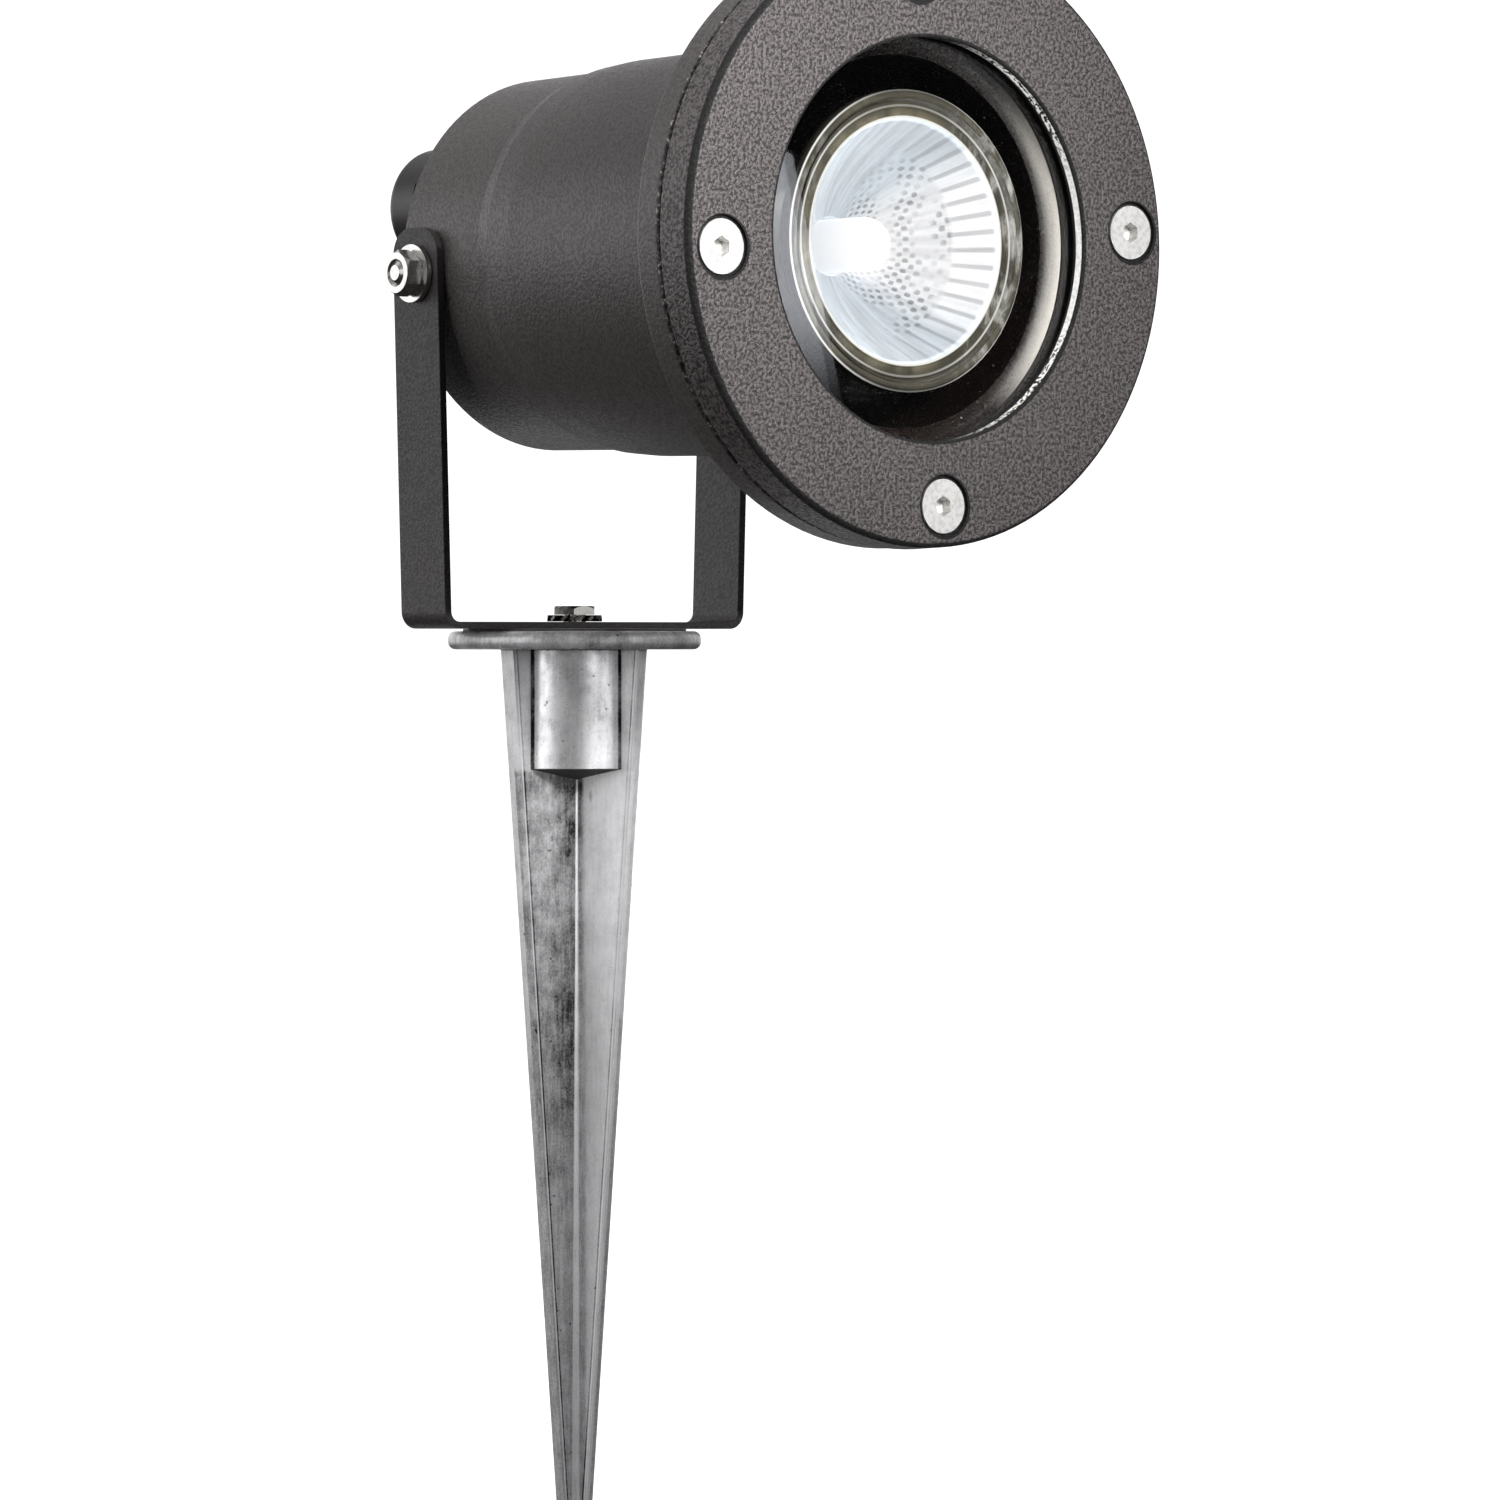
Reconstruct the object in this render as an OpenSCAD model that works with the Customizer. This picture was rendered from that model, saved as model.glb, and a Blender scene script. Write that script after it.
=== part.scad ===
// Ground-spike garden spotlight: a lamp head that tilts in a U bracket,
// which swivels on top of a cast spike. The origin is the centre of the
// spike flange's underside, at soil level. The lamp faces -Y, +Z is up.

/* [Spike] */
// Length of the spike below its flange
spike_len = 165; // [120:1:220]
// Length of the short point at the spike's end
spike_point = 12; // [6:1:25]
// Reach of the fins from the axis, just under the flange
fin_reach = 16.6; // [15:0.1:19]
// Reach of the fins where the point starts
fin_reach_end = 3.1; // [2.6:0.1:5]
// Thickness of the stout fins under the flange
fin_t = 3.1; // [2:0.1:5]
// Thickness of the stout fins where the point starts
fin_t_end = 1.9; // [1:0.1:2.6]
// Thickness of the slim fins under the flange
slim_t = 1.7; // [1.2:0.1:3]
// Thickness of the slim fins where the point starts
slim_t_end = 1.3; // [1:0.1:2]
// Diameter of the boss under the flange
boss_d = 23.6; // [18:0.2:28]
// Height of the boss
boss_h = 21.2; // [14:0.1:30]
// Height of the shallow cone that closes the boss
boss_cone = 1.9; // [0.5:0.1:4]
// Turn of the spike's fins about the vertical axis
spike_turn = 8; // [0:0.5:45]
// Diameter of the flange
flange_d = 44.3; // [36:0.1:60]
// Thickness of the flange
flange_t = 3.2; // [2.4:0.1:6]
// Radius of the flange's rounded rim
flange_edge = 1.3; // [0.4:0.1:1.6]

/* [Bracket] */
// Width of the bracket's strip
strip_w = 13; // [10:0.2:20]
// Thickness of the bracket's strip
strip_t = 1.2; // [1:0.1:2]
// Space between the housing's rear end and each ear
ear_gap = 0.55; // [0.5:0.05:1.5]
// How much narrower the bracket is at its foot, on each side
foot_inset = 1.7; // [0.6:0.1:2.5]
// Height of the pivots above the strip's upper face
pivot_h = 59.9; // [54:0.1:80]
// Outer radius of the two bends
bend_r = 3; // [2.2:0.1:6]
// How far the ears reach above the pivots
ear_over = 7.9; // [6.5:0.1:12]
// Corner radius of the ears
ear_r = 5; // [2:0.1:6]

/* [Fasteners] */
// Thread diameter of the swivel bolt and the pivot studs
bolt_d = 4; // [3:0.5:5]
// Width across flats of the bolt's head and of the pivot nuts
bolt_af = 7; // [6.4:0.1:8]
// Height of the swivel bolt's head
bolt_head = 1.5; // [1.2:0.1:3]
// Turn of the swivel bolt's head about the vertical axis
bolt_turn = 51.5; // [0:0.5:60]
// How deep the swivel bolt's thread goes below the flange's top
bolt_depth = 12; // [6:0.5:18]
// Outer diameter of the toothed lock washer
star_d = 9.6; // [8.4:0.1:11]
// Height over the twisted teeth of the lock washer
star_h = 1.3; // [1:0.1:1.5]
// Number of teeth on the lock washer
star_teeth = 12; // [8:1:16]
// Outer diameter of the pivot washers
washer_d = 10; // [8:0.2:12]
// Thickness of the outer pivot washers
washer_t = 0.9; // [0.5:0.1:1.6]
// Height of a pivot nut
nut_h = 3.1; // [2.4:0.1:5]
// How far a pivot stud stands out of its nut
stud_proud = 0.2; // [0.1:0.1:2]

/* [Housing] */
// Height of the lamp's axis above the pivots
head_rise = 2.8; // [0:0.1:4]
// Outer diameter of the housing at its rear end
rear_d = 65.1; // [62:0.1:65.4]
// Outer diameter just behind the step
waist_d = 65.8; // [63:0.1:66]
// Outer diameter at the top of the step's slope
step_d = 67.4; // [66:0.1:68]
// Outer diameter just in front of the step
shoulder_d = 68.4; // [68:0.1:70]
// Outer diameter where the housing meets its flange
mouth_d = 70.6; // [70:0.1:74]
// From the pivots back to the rear face
rear_reach = 6.4; // [5.8:0.1:10]
// From the pivots forward to the foot of the step
waist_len = 16; // [14:0.5:22]
// Length of the steep part of the step
step_len = 3.5; // [2:0.5:5]
// Length of the gentle part of the step
shoulder_len = 6.5; // [2:0.5:10]
// From the pivots forward to the front face of the housing's flange
head_len = 89.2; // [87:0.1:110]
// Thickness of the housing's flange
rim_t = 6; // [5:0.1:8]
// Thickness of the housing's tube wall
wall = 3.2; // [2.4:0.1:3.6]
// Thickness of the housing's rear wall
rear_wall = 3.2; // [2.4:0.1:4]
// Bevel at the mouth of the chamber
mouth_bevel = 2.4; // [1:0.1:2.6]
// Depth of the flats that the friction washers sit on
spot_depth = 0.5; // [0.4:0.1:0.8]

/* [Bezel and lens] */
// Diameter of the bezel's window
window_d = 66.4; // [60:0.1:68]
// Thickness of the lip round the window
lip_t = 2; // [1.2:0.1:4]
// Gap between the bezel and the housing's flange
bezel_gap = 0.4; // [0.1:0.1:0.6]
// How far the lens reaches under the lip
lens_over = 4.8; // [3:0.1:7]
// Thickness of the lens
lens_t = 4; // [3:0.1:6]
// Thickness of the gasket's two leaves
gasket_t = 1; // [0.6:0.1:2]
// Width of the gasket's rim outside the lens
gasket_rim = 1.8; // [1:0.1:1.8]
// From the lens recess to the centres of the bezel screws
screw_inset = 3.9; // [3.6:0.1:6]
// From the centres of the bezel screws to the rim
rim_land = 6.8; // [6:0.1:10]
// Turn of the screws about the lamp's axis
screw_turn = 3.5; // [0:0.5:10]
// Thread diameter of the bezel screws
screw_d = 5; // [4:0.5:5]
// Head diameter of the bezel screws
screw_head = 9; // [8:0.1:9.4]
// Width across flats of the bezel screws' sockets
screw_af = 3; // [2.5:0.1:4]
// Radius of the bezel's rounded outer edge
bezel_edge = 1; // [0.4:0.1:2]

/* [Lamp] */
// Diameter of the lamp's rim
lamp_d = 50; // [49:0.1:51]
// Gap between the lens and the lamp's rim
lamp_gap = 0.4; // [0.2:0.1:1.5]
// Length of the lamp from its rim to the rear of its base
lamp_len = 46; // [44:0.5:50]
// Depth of the reflector's bowl
bowl_depth = 21; // [18:0.5:24]
// Width of the lamp's rim outside its cover glass
cover_rim = 1.5; // [1:0.1:2.5]
// Width of the ledge that the cover glass lies on
cover_ledge = 3.2; // [2:0.1:4]
// Thickness of the lamp's cover glass
cover_t = 1.2; // [0.8:0.1:2]
// Length of the ceramic lamp base
base_len = 16.5; // [14:0.5:18]
// Length of the base's collar, where the reflector is cemented on
base_collar = 5; // [3:0.5:7]
// Diameter of the ceramic lamp base
base_d = 25; // [22:0.5:27]
// Diameter of the quartz capsule
capsule_d = 9; // [7:0.2:9.4]
// Spacing of the two lamp pins
pin_pitch = 10; // [9:0.1:11]
// Diameter of a lamp pin's head
pin_d = 5; // [4:0.1:5.2]
// Length of a lamp pin
pin_len = 7; // [5:0.1:8]

/* [Lampholder] */
// Diameter of the lampholder
holder_d = 28; // [26:0.5:30]
// Length of the lampholder
holder_len = 18; // [14:0.5:20]
// Width of the steel bar that carries the lampholder
bar_w = 12; // [9:0.5:13]
// Thickness of that bar
bar_t = 1.2; // [0.8:0.1:2]
// Distance between the two posts that carry the bar
post_pitch = 42; // [40:0.5:44]
// Diameter of those posts
post_d = 7; // [6:0.2:8]
// Thread diameter of the small screws inside
small_d = 3; // [2.5:0.5:3]
// Length of the screws that hold the lampholder on its bar
holder_screw = 6.2; // [5:0.1:7]
// Length of the screws that hold the bar on its posts
bar_screw = 8.2; // [6:0.1:9]
// Diameter of a lead's insulation
lead_d = 2.2; // [1.6:0.1:2.6]

/* [Cable gland] */
// Height of the gland above the lamp's axis
gland_rise = 11.3; // [9:0.1:12]
// Thread diameter of the gland
gland_d = 16; // [14:0.5:16]
// Diameter of the boss that carries the gland
gland_boss_d = 24; // [22:0.5:28]
// Length of that boss
gland_boss = 8; // [4:0.5:14]
// Width across flats of the gland's collar and locknut
gland_af = 19; // [18:0.5:20]
// Length of the gland's collar
gland_collar = 5; // [3:0.5:8]
// Diameter of the gland's sealing nut
gland_nut_d = 21.8; // [20:0.2:24]
// Length of the gland's sealing nut
gland_nut = 20.6; // [18:0.2:24]
// Length of the sleeve that holds the gland's seal
gland_sleeve = 13; // [10:0.5:15]
// How far the gland's thread reaches into the housing
gland_inside = 4.4; // [4:0.2:8]
// Diameter of the cable that the seal clamps
cable_d = 7; // [5:0.5:8]

/* [Hidden] */
$fn = 96;
// Running and fitting clearances
thread_fit = 0.05;
fit = 0.1;
running = 0.3;
eps = 0.01;

charcoal = "#4b4745";
raw_alu = "#a9a8a6";
bright = "#d2d1cd";
dark_steel = "#55534f";
black = "#171413";
silicone = "#26211f";
ceramic = "#e3ddd0";
brass = "#b8934a";

// Heights above soil level
strip_top = flange_t + strip_t;
pivot_z = strip_top + pivot_h;
axis_z = pivot_z + head_rise;

// Bracket: the legs lean outwards, so that the ears clear the housing
head_w = rear_d + 2 * (ear_gap + strip_t);
foot_w = head_w - 2 * foot_inset;
bend_x = foot_w / 2 - bend_r;
bend_z = flange_t + bend_r;
lean = atan((head_w - foot_w) / 2 / (pivot_z - bend_z));
leg_len = (pivot_z - bend_z + ear_over) / cos(lean) + 1;
leg_in = head_w / 2 - strip_t / cos(lean);
leg_out = head_w / 2;
washer_x = leg_out + 0.25;
strip_hole = bolt_d + 2 * running;

// Housing, measured forward from the pivots along the lamp's axis
rear = -rear_reach;
floor_z = rear + rear_wall;
step_1 = waist_len + step_len;
step_2 = step_1 + shoulder_len;
rim_back = head_len - rim_t;
bore_back = rear_d / 2 - wall;
bore_front = shoulder_d / 2 - wall;
spot_x = rear_d / 2 - spot_depth;
pivot_boss_in = bore_back - 2.2;
spot_r = washer_d / 2 + 0.4;

// Bezel stack: from the window outwards, then from the flange forwards
lens_d = window_d + 2 * lens_over;
gasket_id = window_d / 2 + 0.3;
gasket_od = lens_d / 2 + fit + gasket_rim;
recess_r = gasket_od + fit;
screw_circle = 2 * (recess_r + screw_inset);
rim_d = screw_circle + 2 * rim_land;
lens_back = head_len + gasket_t;
lens_front = lens_back + lens_t;
recess_top = lens_front + gasket_t;
face = recess_top + lip_t;
bezel_back = head_len + bezel_gap;
screw_sink = 0.6;
screw_cone = (screw_head - screw_d) / 2;
screw_tip = rim_back - 0.4;
socket_depth = 2;

// Lamp
lamp_front = lens_back - lamp_gap;
rim_h = 3;
cover_d = lamp_d - 2 * cover_rim;
bowl_d = cover_d - 2 * cover_ledge;
cover_top = lamp_front - 0.2;
ledge = cover_top - cover_t;
bowl_focus = pow(bowl_d / 2, 2) / (4 * bowl_depth);
bowl_low = ledge - bowl_depth;
neck_r = capsule_d / 2 + 0.5;
base_back = lamp_front - lamp_len;
base_top = base_back + base_len;
capsule_top = bowl_low + bowl_depth * 0.68;

// Lampholder and the bar under it
holder_front = base_back - 0.3;
holder_back = holder_front - holder_len;
bar_back = holder_back - bar_t;
pocket_r = pin_d / 2 + 0.4;
pocket_len = pin_len + 1.2;
holder_screw_x = 9;
small_head_d = 5.6;
small_head_h = 1.8;

// Terminal block and earth point on the rear wall
block = [23, 10, 10];
block_y = -17;
poles = [-7, 0, 7];
earth = [18, -9];
earth_boss_h = 3;
tag_t = 0.8;
barrel = [14.3, -12.7];
barrel_top = floor_z + earth_boss_h + tag_t + 4;

// Routes of the leads, from lampholder or tag to terminal block
block_top = floor_z + block[2];
lead_l = [[-4, -9.5, holder_back], [-4, -9.5, 21], [-5, -12, 16], [-6.5, -15.5, 12],
          [poles[0], block_y, 9.5], [poles[0], block_y, block_top]];
lead_n = [[4, -9.5, holder_back], [4, -9.5, 21], [3, -12, 16], [1, -15.5, 12],
          [poles[1], block_y, 9.5], [poles[1], block_y, block_top]];
lead_e = [[poles[2], block_y, block_top], [poles[2], block_y, 9.6], [9, -15.8, 12],
          [12, -13.8, 11.6], [barrel[0], barrel[1], 8.8], [barrel[0], barrel[1], barrel_top]];

// Gland, measured along the same axis
boss_back = rear - gland_boss;
collar_front = boss_back - gasket_t;
collar_back = collar_front - gland_collar;
nut_front = collar_back - 0.5;
nut_back = nut_front - gland_nut;
sleeve_r = gland_d / 2 + 0.2;
sleeve_back = nut_front - gland_sleeve - 0.5;
seal_r = sleeve_r - 1.6;
seal_front = collar_back - 1.6;
nut_floor = sleeve_back - 2.2;
nut_edge = 2;

// Points of an arc, for outlines
function arc(c, r, from, to, n = 6) =
    [for (i = [0:n]) let (a = from + (to - from) * i / n) [c[0] + r * cos(a), c[1] + r * sin(a)]];

// Places a child that is modelled along the lamp's axis, with its front up
module head_frame() {
    translate([0, 0, axis_z]) rotate([90, 0, 0]) children();
}

// Repeats a child on both pivots, with its outer end up
module on_pivots() {
    for (side = [0, 180]) rotate([0, 0, side]) translate([0, 0, pivot_z]) rotate([0, 90, 0]) children();
}

module ring(d, hole, h) {
    difference() {
        cylinder(d = d, h = h);
        translate([0, 0, -1]) cylinder(d = hole, h = h + 2);
    }
}

// Hexagon bar with its corners turned off at the ends that ask for it
module hex_bar(af, h, top = 1, bottom = 0) {
    corner = af / sqrt(3);
    drop = 0.16 * af / 2;
    intersection() {
        cylinder(r = corner, h = h, $fn = 6);
        rotate_extrude() polygon([
            [0, 0], [corner + eps - 0.14 * corner * bottom, 0], [corner + eps, drop * bottom],
            [corner + eps, h - drop * top], [corner + eps - 0.14 * corner * top, h], [0, h]
        ]);
    }
}

module screw(d, length, head, head_h) {
    translate([0, 0, -length]) cylinder(d = d, h = length + eps, $fn = 32);
    cylinder(d = head, h = head_h, $fn = 32);
}

// Round tube along a list of points, closed by flat ends
module tube(route, d, sides = 8) {
    last = len(route) - 1;
    function dir(i) =
        let (a = route[max(i - 1, 0)], b = route[min(i + 1, last)]) (b - a) / norm(b - a);
    function across(v) = let (u = cross(v, [1, 0, 0])) u / norm(u);
    function ends(i) = i == 0 || i == last;
    function along(i) =
        ends(i) ? [0, 0, sign(route[max(i, 1)][2] - route[max(i, 1) - 1][2])] : dir(i);
    points = [for (i = [0:last]) let (v = along(i), u = across(v), w = cross(v, u))
        for (k = [0:sides - 1]) route[i] + d / 2 * (u * cos(360 / sides * k) + w * sin(360 / sides * k))];
    skin = [for (i = [0:last - 1]) for (k = [0:sides - 1]) let (n = (k + 1) % sides)
        each [[i * sides + k, (i + 1) * sides + n, i * sides + n],
              [i * sides + k, (i + 1) * sides + k, (i + 1) * sides + n]]];
    polyhedron(points, concat(
        [[for (k = [0:sides - 1]) k]], skin, [[for (k = [sides - 1:-1:0]) last * sides + k]]));
}

// One pair of fins: a long taper, then the short point
module fin_pair(t, t_end) {
    slice = 0.05;
    point_z = spike_point - spike_len;
    hull() {
        linear_extrude(slice) square([2 * fin_reach, t], center = true);
        translate([0, 0, point_z]) linear_extrude(slice)
            square([2 * fin_reach_end, t_end], center = true);
    }
    hull() {
        translate([0, 0, point_z]) linear_extrude(slice)
            square([2 * fin_reach_end, t_end], center = true);
        translate([0, 0, -spike_len]) linear_extrude(slice) square(0.8, center = true);
    }
}

module ground_spike() {
    rim = flange_d / 2 - flange_edge;
    color(raw_alu) rotate([0, 0, spike_turn]) difference() {
        union() {
            rotate_extrude() polygon(concat(
                [[0, 0]], arc([rim, flange_edge], flange_edge, -90, 0),
                arc([rim, flange_t - flange_edge], flange_edge, 0, 90), [[0, flange_t]]));
            translate([0, 0, -boss_h]) cylinder(d = boss_d, h = boss_h + eps);
            translate([0, 0, -boss_h - boss_cone])
                cylinder(d1 = 2 * fin_t_end, d2 = boss_d, h = boss_cone);
            fin_pair(fin_t, fin_t_end);
            rotate([0, 0, 90]) fin_pair(slim_t, slim_t_end);
        }
        translate([0, 0, flange_t - bolt_depth - 1])
            cylinder(d = bolt_d + 2 * thread_fit, h = bolt_depth + 2, $fn = 48);
    }
}

module swivel_bolt() {
    color(bright) translate([0, 0, strip_top + star_h]) {
        translate([0, 0, -eps]) rotate([0, 0, bolt_turn]) hex_bar(bolt_af, bolt_head + eps);
        translate([0, 0, flange_t - bolt_depth - strip_top - star_h])
            cylinder(d = bolt_d, h = bolt_depth + strip_t + star_h, $fn = 48);
    }
}

// Lock washer with twisted outer teeth
module swivel_star_washer() {
    web_r = star_d / 2 - 1.5;
    twist = 38;
    tooth_t = 0.5;
    tooth_w = (star_h - 2 * fit - tooth_t * cos(twist)) / sin(twist);
    color(dark_steel) translate([0, 0, strip_top + star_h / 2]) difference() {
        union() {
            translate([0, 0, -tooth_t / 2]) cylinder(r = web_r, h = tooth_t, $fn = 48);
            for (i = [0:star_teeth - 1])
                rotate([0, 0, 360 / star_teeth * i]) rotate([twist, 0, 0])
                    translate([web_r - 0.5, -tooth_w / 2, -tooth_t / 2]) cube([2, tooth_w, tooth_t]);
        }
        translate([0, 0, -1]) cylinder(d = bolt_d + 2 * thread_fit, h = 2, $fn = 48);
    }
}

// The bracket seen from its side: a strip with two rounded corners at the ears
module strip_side() {
    top = pivot_z + ear_over;
    translate([-strip_w / 2, 0]) square([strip_w, top - ear_r]);
    translate([ear_r - strip_w / 2, 0]) square([strip_w - 2 * ear_r, top]);
    for (side = [-1, 1])
        translate([side * (strip_w / 2 - ear_r), top - ear_r]) circle(r = ear_r, $fn = 48);
}

module u_bracket() {
    bend = [bend_x, bend_z];
    bend_in = bend_r - strip_t;
    leg = leg_len * [sin(lean), cos(lean)];
    outward = [cos(lean), -sin(lean)];
    half = concat(
        arc(bend, bend_r, -90, -lean, 12), [bend + bend_r * outward + leg, bend + bend_in * outward + leg],
        arc(bend, bend_in, -lean, -90, 12));
    other = [for (i = [len(half) - 1:-1:0]) [-half[i][0], half[i][1]]];
    color(charcoal) difference() {
        intersection() {
            rotate([90, 0, 0]) linear_extrude(strip_w + 2, center = true) polygon(concat(half, other));
            rotate([90, 0, 90]) linear_extrude(head_w + 10, center = true) strip_side();
        }
        translate([0, 0, flange_t - 1]) cylinder(d = strip_hole, h = strip_t + 2, $fn = 48);
        translate([-head_w, 0, pivot_z]) rotate([0, 90, 0])
            cylinder(d = strip_hole, h = 2 * head_w, $fn = 48);
    }
}

module pivot_washers() {
    color(bright) on_pivots() translate([0, 0, washer_x])
        ring(washer_d, bolt_d + 2 * fit, washer_t);
}

// Thin washers that fill the space between the housing and the leaning ears
module friction_washers() {
    space = leg_in - washer_d / 2 * sin(lean) - running - spot_x;
    color(dark_steel) on_pivots() translate([0, 0, spot_x])
        ring(washer_d, bolt_d + 2 * fit, space);
}

module pivot_nuts() {
    color(bright) on_pivots() translate([0, 0, washer_x + washer_t]) difference() {
        hex_bar(bolt_af, nut_h, 1, 1);
        translate([0, 0, -1]) cylinder(d = bolt_d + 2 * thread_fit, h = nut_h + 2, $fn = 48);
        translate([0, 0, nut_h - 0.4])
            cylinder(d1 = bolt_d + 2 * thread_fit, d2 = bolt_d + 1, h = 0.5, $fn = 48);
    }
}

module pivot_studs() {
    stud_end = washer_x + washer_t + nut_h + stud_proud;
    color(bright) on_pivots() translate([0, 0, pivot_boss_in]) {
        cylinder(d = bolt_d, h = stud_end - 0.5 - pivot_boss_in, $fn = 48);
        translate([0, 0, stud_end - 0.5 - pivot_boss_in])
            cylinder(d1 = bolt_d, d2 = bolt_d - 1.4, h = 0.5, $fn = 48);
    }
}

module on_screw_circle() {
    for (a = [screw_turn:90:359])
        translate([screw_circle / 2 * cos(a), screw_circle / 2 * sin(a), 0]) children();
}

module housing() {
    edge = 0.8;
    rim_r = rim_d / 2;
    outline = concat(
        [[0, rear], [rear_d / 2 - 0.5, rear], [rear_d / 2, rear + 0.5],
         [waist_d / 2, waist_len], [step_d / 2, step_1], [shoulder_d / 2, step_2],
         [mouth_d / 2 - 0.1, rim_back - 1], [mouth_d / 2 + 0.9, rim_back]],
        arc([rim_r - edge, rim_back + edge], edge, -90, 0, 4),
        arc([rim_r - edge, head_len - edge], edge, 0, 90, 4),
        [[0, head_len]]);
    color(charcoal) head_frame() difference() {
        union() {
            difference() {
                union() {
                    rotate_extrude() polygon(outline);
                    translate([0, gland_rise, boss_back])
                        cylinder(d = gland_boss_d, h = gland_boss + rear_wall / 2, $fn = 64);
                }
                translate([0, 0, floor_z])
                    cylinder(r1 = bore_back, r2 = bore_front, h = head_len - floor_z + eps);
                translate([0, 0, head_len - mouth_bevel])
                    cylinder(r1 = bore_front, r2 = bore_front + mouth_bevel, h = mouth_bevel + eps);
            }
            for (side = [-1, 1]) {
                translate([side * post_pitch / 2, 0, floor_z - 1])
                    cylinder(d = post_d, h = bar_back - floor_z + 1, $fn = 48);
                translate([side * pivot_boss_in, -head_rise, 0]) rotate([0, side * 90, 0])
                    cylinder(r = spot_r, h = spot_x - pivot_boss_in, $fn = 48);
            }
            translate([earth[0], earth[1], floor_z - 1])
                cylinder(d = 7, h = earth_boss_h + 1, $fn = 48);
        }
        for (side = [-1, 1]) {
            translate([side * post_pitch / 2, 0, bar_back - bar_screw - 0.8])
                cylinder(d = small_d + 2 * thread_fit, h = bar_screw + 1.8, $fn = 32);
            translate([side * spot_x, -head_rise, 0]) rotate([0, side * 90, 0])
                cylinder(r = spot_r, h = 5, $fn = 48);
            translate([side * (pivot_boss_in - 1), -head_rise, 0]) rotate([0, side * 90, 0])
                cylinder(d = bolt_d + 2 * thread_fit, h = 12, $fn = 48);
        }
        translate([earth[0], earth[1], floor_z - 1.4])
            cylinder(d = bolt_d + 2 * thread_fit, h = 8, $fn = 32);
        translate([0, gland_rise, boss_back - 1])
            cylinder(d = gland_d + 2 * thread_fit, h = gland_boss + rear_wall + 2, $fn = 64);
        on_screw_circle() translate([0, 0, rim_back - 3])
            cylinder(d = screw_d + 2 * thread_fit, h = rim_t + 4, $fn = 48);
    }
}

module bezel_ring() {
    bezel_r = rim_d / 2;
    back_edge = 0.6;
    lip_edge = 0.4;
    color(charcoal) head_frame() difference() {
        rotate_extrude() polygon(concat(
            [[recess_r, bezel_back]],
            arc([bezel_r + 0.2 - back_edge, bezel_back + back_edge], back_edge, -90, 0, 4),
            arc([bezel_r - bezel_edge, face - bezel_edge], bezel_edge, 0, 90, 5),
            arc([window_d / 2 + lip_edge, face - lip_edge], lip_edge, 90, 180, 4),
            [[window_d / 2, recess_top], [recess_r, recess_top]]));
        on_screw_circle() {
            translate([0, 0, bezel_back - 1]) cylinder(d = screw_d + 0.5, h = face, $fn = 48);
            translate([0, 0, face - screw_sink - screw_cone])
                cylinder(d1 = screw_d + 2 * fit, d2 = screw_head + 2 * fit, h = screw_cone, $fn = 48);
            translate([0, 0, face - screw_sink - eps])
                cylinder(d = screw_head + 1.3, h = screw_sink + 1, $fn = 48);
        }
    }
}

module bezel_screws() {
    cone_base = face - screw_sink - screw_cone;
    head_top = face - screw_sink + 0.4;
    color(bright) head_frame() on_screw_circle() difference() {
        union() {
            translate([0, 0, screw_tip]) cylinder(d = screw_d, h = cone_base - screw_tip + eps, $fn = 48);
            translate([0, 0, cone_base]) cylinder(d1 = screw_d, d2 = screw_head, h = screw_cone, $fn = 48);
            translate([0, 0, cone_base + screw_cone - eps])
                cylinder(d = screw_head, h = head_top - cone_base - screw_cone + eps, $fn = 48);
        }
        translate([0, 0, head_top - socket_depth]) rotate([0, 0, 90])
            cylinder(d = screw_af * 2 / sqrt(3), h = socket_depth + 1, $fn = 6);
        translate([0, 0, head_top - socket_depth - 0.6])
            cylinder(d1 = 0.4, d2 = screw_af - 0.1, h = 0.6 + eps, $fn = 32);
    }
}

module lens_glass() {
    bevel = 0.4;
    lens_r = lens_d / 2;
    color("lightcyan", 0.35) head_frame() rotate_extrude() polygon([
        [0, lens_back], [lens_r - bevel, lens_back], [lens_r, lens_back + bevel],
        [lens_r, lens_front - bevel], [lens_r - bevel, lens_front], [0, lens_front]
    ]);
}

module lens_gasket() {
    slot_r = lens_d / 2 + fit;
    color(silicone) head_frame() rotate_extrude() polygon([
        [gasket_id, head_len], [gasket_od, head_len], [gasket_od, recess_top], [gasket_id, recess_top],
        [gasket_id, lens_front], [slot_r, lens_front], [slot_r, lens_back], [gasket_id, lens_back]
    ]);
}

module lamp_reflector() {
    r_max = lamp_d / 2;
    steps = 10;
    low_z = bowl_low + neck_r * neck_r / (4 * bowl_focus);
    skirt_z = lamp_front - rim_h;
    bowl = [for (i = [0:steps]) let (r = neck_r + (bowl_d / 2 - neck_r) * i / steps)
        [r, bowl_low + r * r / (4 * bowl_focus)]];
    neck = base_d / 2 - 1.5;
    shell = [for (i = [0:steps]) let (t = 1 - i / steps)
        [neck + (r_max - 0.6 - neck) * pow(t, 1.1), base_top + (skirt_z - base_top) * t]];
    color("#c9ccd2") head_frame() rotate_extrude() polygon(concat(
        [[neck_r, base_top]], bowl,
        [[cover_d / 2, ledge], [cover_d / 2, lamp_front - 0.5], [cover_d / 2 + 0.5, lamp_front],
         [r_max - 0.6, lamp_front], [r_max, lamp_front - 0.6], [r_max, skirt_z + 0.3]],
        shell));
}

module lamp_cover_glass() {
    color("lightcyan", 0.35) head_frame() translate([0, 0, ledge])
        cylinder(d = cover_d - 2 * fit, h = cover_t);
}

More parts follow.
